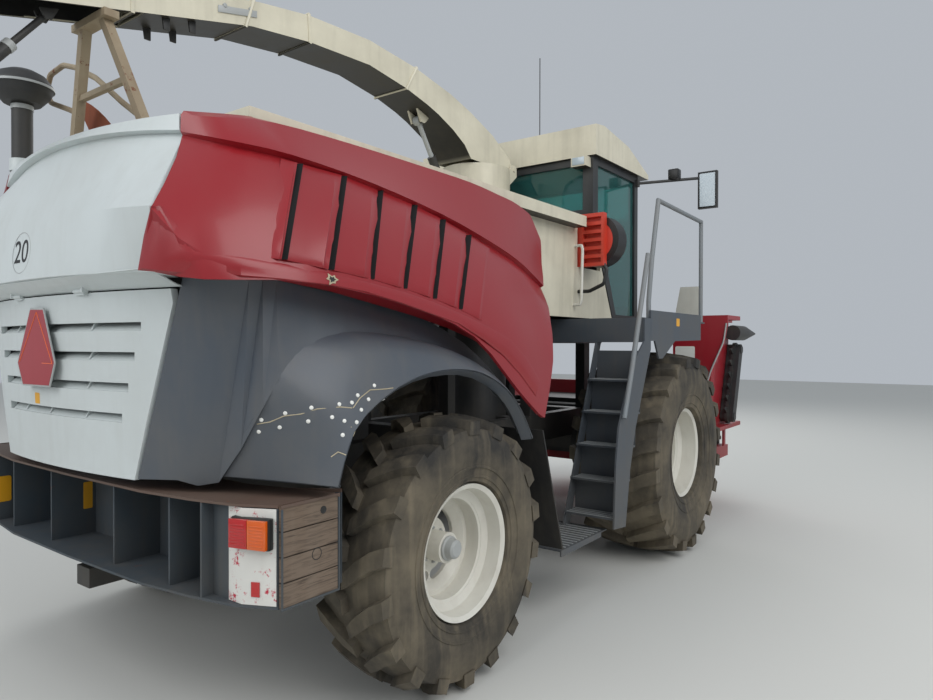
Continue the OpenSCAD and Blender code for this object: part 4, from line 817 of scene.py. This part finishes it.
def crowned(x, y, z, half, grooves):
    """A point of a unit cube's skin moved onto a cushion, and sunk at the sewn grooves."""
    ball = Vector([a * math.sqrt(1 - b * b / 2 - c * c / 2 + b * b * c * c / 3)
                   for a, b, c in ((x, y, z), (y, z, x), (z, x, y))])
    p = Vector((x, y, z)).lerp(ball, ROUNDED)
    p.x *= 1 - DRAWN_IN * (1 - y * y)
    p.y *= 1 - DRAWN_IN * (1 - x * x)
    if z > 0.99:
        p.z -= GROOVE_DEEP * sum(math.exp(-((p.x - groove) / GROOVE_WIDE) ** 2) for groove in grooves)
    return Vector((p.x * half.x, p.y * half.y, p.z * half.z))


def cushion(name, size, place, grooves):
    """A padded cushion of cloth over foamed plastic, with a piped seam round its front and one round its back."""
    half = Vector(size) / 2
    bpy.ops.mesh.primitive_cube_add(size=2)
    pad = bpy.context.object
    opened()
    bpy.ops.mesh.subdivide(number_cuts=27)
    bpy.ops.object.mode_set(mode="OBJECT")
    for v in pad.data.vertices:
        v.co = place @ crowned(*v.co, half, grooves)
    settle(pad, name, seat_cloth, angle=50)
    if name == "seat_cushion":
        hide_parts("cab_seat")
    ends = [(1, 1), (-1, 1), (-1, -1), (1, -1), (1, 1)]
    run = [(a[0] + (b[0] - a[0]) * k / 10, a[1] + (b[1] - a[1]) * k / 10)
           for a, b in zip(ends, ends[1:]) for k in range(10)]
    run.append(run[0])
    seams = [pipe([place @ crowned(x, y, z, half, ()) for x, y in run], 0.009, 8, soft=False) for z in (1, -1)]
    settle(seams, f"{name}_piping", black_plastic_and_painted_shade)


cushion("seat_cushion", (0.42, 0.46, 0.118), Matrix.Translation(at(2910, 0, 2301)), (-0.45, 0.45))
lean = math.radians(8)
upright = Matrix(((-math.sin(lean), 0, math.cos(lean)), (0, -1, 0), (math.cos(lean), 0, math.sin(lean)))).to_4x4()
cushion("seat_back", (0.61, 0.44, 0.112), Matrix.Translation(at(2654, 0, 2560)) @ upright, (-0.5, 0.2, 0.62))
# The seat's rubber bellows, wide and narrow folds in turn, their corners cut
CUT = 30
folds = []
for k in range(8):
    inset = 0 if k % 2 else 14
    x0, x1, y1, z = 2800 + inset, 3080 - inset, 200 - inset, 1925.5 + k * 39.7
    outline = ((x0 + CUT, -y1), (x1 - CUT, -y1), (x1, CUT - y1), (x1, y1 - CUT), (x1 - CUT, y1), (x0 + CUT, y1),
               (x0, y1 - CUT), (x0, CUT - y1))
    folds.append(plate([at(x, y, z) for x, y in outline], (0, 0, 0.0395)))
settle(folds, "seat_suspension", flap_rubber, bevel=0.006)
tinted_glass, _ = surface("tinted_safety_glass", Base_Color="4d8f8c", Roughness=0.04, Transmission_Weight=0.75,
                          IOR=1.52)
wear(tinted_glass, "cab_glass", "door_glass")
column = pipe([at(3130, 0, 1930), at(3080, 0, 2200), at(2990, 0, 2480)], 0.07, 12)
tilt = Vector((-0.55, 0, 0.83)).normalized()
hub = at(2975, 0, 2500)
GRIP = ((0.175, -0.012), (0.187, -0.016), (0.199, -0.012), (0.203, 0), (0.199, 0.012), (0.187, 0.016), (0.175, 0.012),
        (0.171, 0))
wheel_rim = turned(GRIP, hub, tilt, 36)
boss = turned([(0, -0.03), (0.05, -0.03), (0.055, 0), (0.045, 0.02), (0, 0.026)], hub, tilt, 24)
spokes = []
for k in range(3):
    a = k * 2 * math.pi / 3 + math.pi / 6
    way = Vector((0, 1, 0)) * math.cos(a) + tilt.cross(Vector((0, 1, 0))) * math.sin(a)
    spokes.append(pipe([hub + way * 0.04, hub + way * 0.182], 0.018, 8, soft=False))
settle([column, wheel_rim, boss] + spokes, "steering_wheel", black_plastic_and_painted_shade)
# Pale blue-grey glass for the work lamps; on the mirrors it is a painted reflection
lamp_glass_and_mirror_reflection = painted("clear_lamp_glass_and_painted_mirror_reflection", "aebcc4", "8a8478", rough=0.08, dusty=0.1, coat=0.5, grain=0.00005)
DOOR_PULL = ((2560, 856, 2520), (2560, 880, 2520), (2640, 880, 2560), (2640, 856, 2560))
for side, s in SIDES:
    face = [at(2259.8, s * y, z) for y, z in rect(712, 818, 3100, 3160)]
    settle(plate(face, (-0.006, 0, 0)), f"work_lamp_glass_{side}", lamp_glass_and_mirror_reflection, bevel=0.003)
    # Marker lamp on the mirror's arm
    casing = plate([at(x, s * y, 3158) for x, y in rect(3400, 3490, 1070, 1165)], (0, 0, 0.095))
    settle(casing, f"marker_lamp_{side}", black_plastic_and_painted_shade, bevel=0.012)
    glass = [at(3589.6, s * y, z) for y, z in rect(1292, 1438, 2912, 3218)]
    mirror_rim = pipe([*glass, glass[0]], 0.012, 8, soft=False)
    settle(mirror_rim, f"mirror_rim_{side}", black_plastic_and_painted_shade)
    # The mirror's face is pale blue-grey, a painted reflection
    settle(plate(glass, (-0.001, 0, 0)), f"mirror_glass_{side}", lamp_glass_and_mirror_reflection)
    pull = pipe([at(x, s * y, z) for x, y, z in DOOR_PULL], 0.014, 8)
    settle(pull, f"door_pull_{side}", black_plastic_and_painted_shade, "cab_door" if s > 0 else "machine")

# Condenser: an orange slotted plate, its fan in a black plastic shroud behind
# a wire guard.
orange_paint = painted("orange_core_paint", "c93a26", "6e6355", rough=0.5, dusty=0.25)
wear(orange_paint, "condenser")
# The fan's middle, the shroud's section round it, and how far before it the guard's spokes lie
FAN = at(2160, -960, 2470)
SHROUD = ((0.1495, -0.0015), (0.1965, -0.0015), (0.1965, 0.148), (0.186, 0.153), (0.181, 0.1515), (0.1905, 0.1505),
          (0.1905, -0.0005), (0.1495, -0.0005))
GUARD_X = 0.154
settle(turned(SHROUD, FAN, (1, 0, 0), 48), "fan_shroud", black_plastic_and_painted_shade)
guard = [turned(rect(r - 0.002, r + 0.002, 0.152, 0.156), FAN, (1, 0, 0), 40) for r in (0.05, 0.085, 0.12, 0.155)]
for k in range(8):
    a = k * math.pi / 4
    ray = Vector((0, math.cos(a), math.sin(a)))
    spoke = [FAN + Vector((GUARD_X, ray.y * r, ray.z * r)) for r in (0.048, 0.186)]
    guard.append(pipe(spoke, 0.004, 6, soft=False))
settle(guard, "fan_guard", black_plastic_and_painted_shade)
HOSE = ((2130, -1045, 2290), (2130, -1075, 2240), (2110, -1060, 2130), (2110, -940, 2080), (2100, -845, 2080))
settle(pipe([at(*p) for p in HOSE], 0.028, 12), "condenser_hose", black_plastic_and_painted_shade)

# Spout: folded steel sheet in cream enamel, painted shade on what faces down and a near-black
# sheet inside, with bolted flange frames and lugs; it lies on a rest of rusty tube.
# Its top and its underside: columns are x and z, in millimetres from the rear axle
SPOUT_TOP = ((1950, 3360), (1650, 3470), (1400, 3540), (1000, 3610), (550, 3645), (50, 3615), (-300, 3555),
             (-1000, 3380), (-1650, 3205))
SPOUT_UNDER = ((1420, 3280), (1250, 3350), (1120, 3390), (900, 3440), (550, 3485), (60, 3460), (-350, 3405),
               (-1000, 3235), (-1650, 3065))
# The x of its sections, at which its half width shrinks in even steps
SPOUT_SECTIONS = (2240, 2190, 1950, 1650, 1400, 1000, 550, 50, -300, -1000, -1650)
ROOT_HALF, SHRINK = 165, 35


def spout_at(table, x):
    """The height of the spout's top or underside at x, between its sections."""
    for (x1, z1), (x0, z0) in zip(table, table[1:]):
        if x >= x0:
            return z0 + (z1 - z0) * (x - x0) / (x1 - x0)
    return table[-1][1]


def spout_half(x):
    """Half the spout's width at x, between its sections."""
    for i, (x1, x0) in enumerate(zip(SPOUT_SECTIONS, SPOUT_SECTIONS[1:])):
        if x >= x0:
            break
    share = (i + (x1 - x) / (x1 - x0)) / (len(SPOUT_SECTIONS) - 1)
    return ROOT_HALF - SHRINK * share


# Flange bands: x on the top and on the underside
for i, (x_top, x_low) in enumerate(((1010, 905), (45, 55), (-340, -390), (-1010, -1010))):
    half, z_top, z_low = spout_half(x_top), spout_at(SPOUT_TOP, x_top), spout_at(SPOUT_UNDER, x_low)
    loop = []
    for y, z, x in ((-half, z_top, x_top), (half, z_top, x_top), (half, z_low, x_low), (-half, z_low, x_low)):
        loop.append(at(x, y * 1.025, z + (5 if z == z_top else -5)))
    band = pipe([*loop, loop[0]], 0.020, 4, soft=False)
    settle(band, f"spout_band_{i}", cream_enamel_shaded_below, "spout")
lining_rows = []
for x in range(-1640, -949, 69):
    half = spout_half(x) - 9
    top, low = spout_at(SPOUT_TOP, x) - 11, spout_at(SPOUT_UNDER, x) + 2
    lining_rows.append([at(x, y, z) for y, z in ((-half, low), (-half, top), (half, top), (half, low))])
# A near-black sheet inside the spout's end
spout_lining = painted("near_black_spout_lining", "121313", "3a362e", rough=0.5, dusty=0.2)
settle(curved_sheet(lining_rows, 0.001), "spout_lining", spout_lining, "spout")
fitting = []
for s in (1, -1):
    for x in (-520, -360):
        z = (spout_at(SPOUT_TOP, x) + spout_at(SPOUT_UNDER, x)) / 2 + 20
        fitting.append(turned(rect(0, 0.013, -0.002, 0.009), at(x, s * spout_half(x), z), (0, s, 0), 6))
    face = [at(x, s * (spout_half(x) + 0.5), spout_at(SPOUT_UNDER, x) + up) for x, up in rect(-560, -320, 52, 88)]
    fitting.append(plate(face, (0, s * 0.006, 0)))
settle(fitting, "spout_side_bars", tin, "spout", bevel=0.001)
barrel = pipe([at(-1487, 0, 2934), at(-1600, 0, 2792)], 0.052, 16)
gland = pipe([at(-1470, 0, 2955), at(-1490, 0, 2930)], 0.058, 16)
rod = pipe([at(-1336, 0, 3124), at(-1488, 0, 2933)], 0.030, 12)
wear(tin, "lift_rod", "header_lift_rods")
# The strut's cheeks at its lower and at its upper end: x and z
STAY = ((-1560, 3110), (-1640, 3090), (-1625, 2765), (-1580, 2765))
CHEEK = ((-1290, 3162), (-1370, 3142), (-1350, 3105), (-1318, 3105))
stays = [plate([at(x, y, z) for x, z in STAY], (0, 0.012, 0)) for y in (-52, 40)]
cheeks = [plate([at(x, y, z) for x, z in CHEEK], (0, 0.012, 0)) for y in (-34, 22)]
settle([barrel, rod] + stays + cheeks, "spout_end_strut", black_paint, "spout", bevel=0.001)
settle(gland, "strut_gland", tin, "spout")
lugs = []
for x0 in (-840, -700):
    low = spout_at(SPOUT_UNDER, x0)
    lug = ((x0, low + 3), (x0 + 40, spout_at(SPOUT_UNDER, x0 + 40) + 3), (x0 + 40, low - 52), (x0 + 8, low - 52))
    lugs += [plate([at(x, y, z) for x, z in lug], (0, 0.01, 0)) for y in (-95, 85)]
settle(lugs, "spout_under_lugs", black_paint, "spout", bevel=0.001)
rest_paint = painted("weathered_rest_paint", "9a8c74", "6a5038", rough=0.6, dusty=0.5, rust=0.75)
wear(rest_paint, "spout_rest")

# Air intake and heat plate: a plastic pre-cleaner bowl clamped on its stem, with
# a bent guard tube behind it, and a round-edged plate of bare rusty steel.
UP = (0, 0, 1)
clamps = [turned(rect(0.1495, 0.153, -0.006, 0.006), at(-1130, 780, 3039), UP, 40),
          turned(rect(0.0495, 0.053, -0.012, 0.012), at(-1130, 780, 2930), UP, 32)]
settle(clamps, "intake_clamps", tin)
GUARD_RUN = ((-1010, -290, 2652), (-975, -150, 2740), (-960, 60, 2860), (-956, 330, 3040), (-956, 560, 3150),
             (-956, 700, 3196), (-956, 860, 3180), (-956, 915, 3090), (-956, 850, 3020), (-956, 620, 2935),
             (-960, 420, 2850), (-975, 290, 2755), (-1010, 235, 2650))
settle(pipe([at(*p) for p in GUARD_RUN], 0.030, 12), "intake_guard_tube", rest_paint)
rust_plate = painted("bare_rusty_steel", "84452a", "4a2a1c", rough=0.85, dusty=0.6, rust=0.3, chip="3a2620")
# The heat plate stands at this x; its outline is in the photograph's pixels
HEAT_X = at(-1000, 0, 0).x
HEAT_PLATE = ((75, 99), (83, 100.5), (90, 104.5), (97, 110), (104, 117), (109, 123), (113, 130), (116, 140),
              (118, 152), (97, 152), (88, 128))
outline = []
for px, py in HEAT_PLATE:
    ray = sight(px, py)
    outline.append(camera.location + ray * ((HEAT_X - camera.location.x) / ray.x))
settle(plate(outline, (0.008, 0, 0)), "rusty_heat_plate", rust_plate)

# Header: welded sheet in red and black, its folded wings with a chipped white
# guard on top, bright worn edges and finger chains of cast links.
header_red = painted("header_red_paint", "981726", "6a4a3e", rough=0.4, dusty=0.2, mud=0.35, mud_top=1.6, rust=0.3,
                     coat=0.1, above=(1.955, "c9c7bd"))
wear(header_red, "header_frame", "wing_left", "wing_right")
wear(black_paint, "centre_chains", "wing_chain_left", "wing_chain_right")
# The wing's worn edge: y and z
WORN_X = 3932
WORN_EDGE = ((1236, 810), (1247, 1250), (1296, 1422), (1415, 1700), (1440, 1875))
for side, s in SIDES:
    worn = pipe([at(WORN_X, s * y, z) for y, z in WORN_EDGE], 0.014, 8)
    settle(worn, f"wing_worn_edge_{side}", tin, f"wing_{side}")
WING_FACES = ("wing_right", "header_frame")
label(685, 353, 0.19, 0.13, "wing_plate", rivet_white, "wing_right", "panel_red", *WING_FACES, lift=0.002)
label(681, 363.5, 0.10, 0.05, "wing_sticker", yellow_film, "wing_right", "panel_red", *WING_FACES)
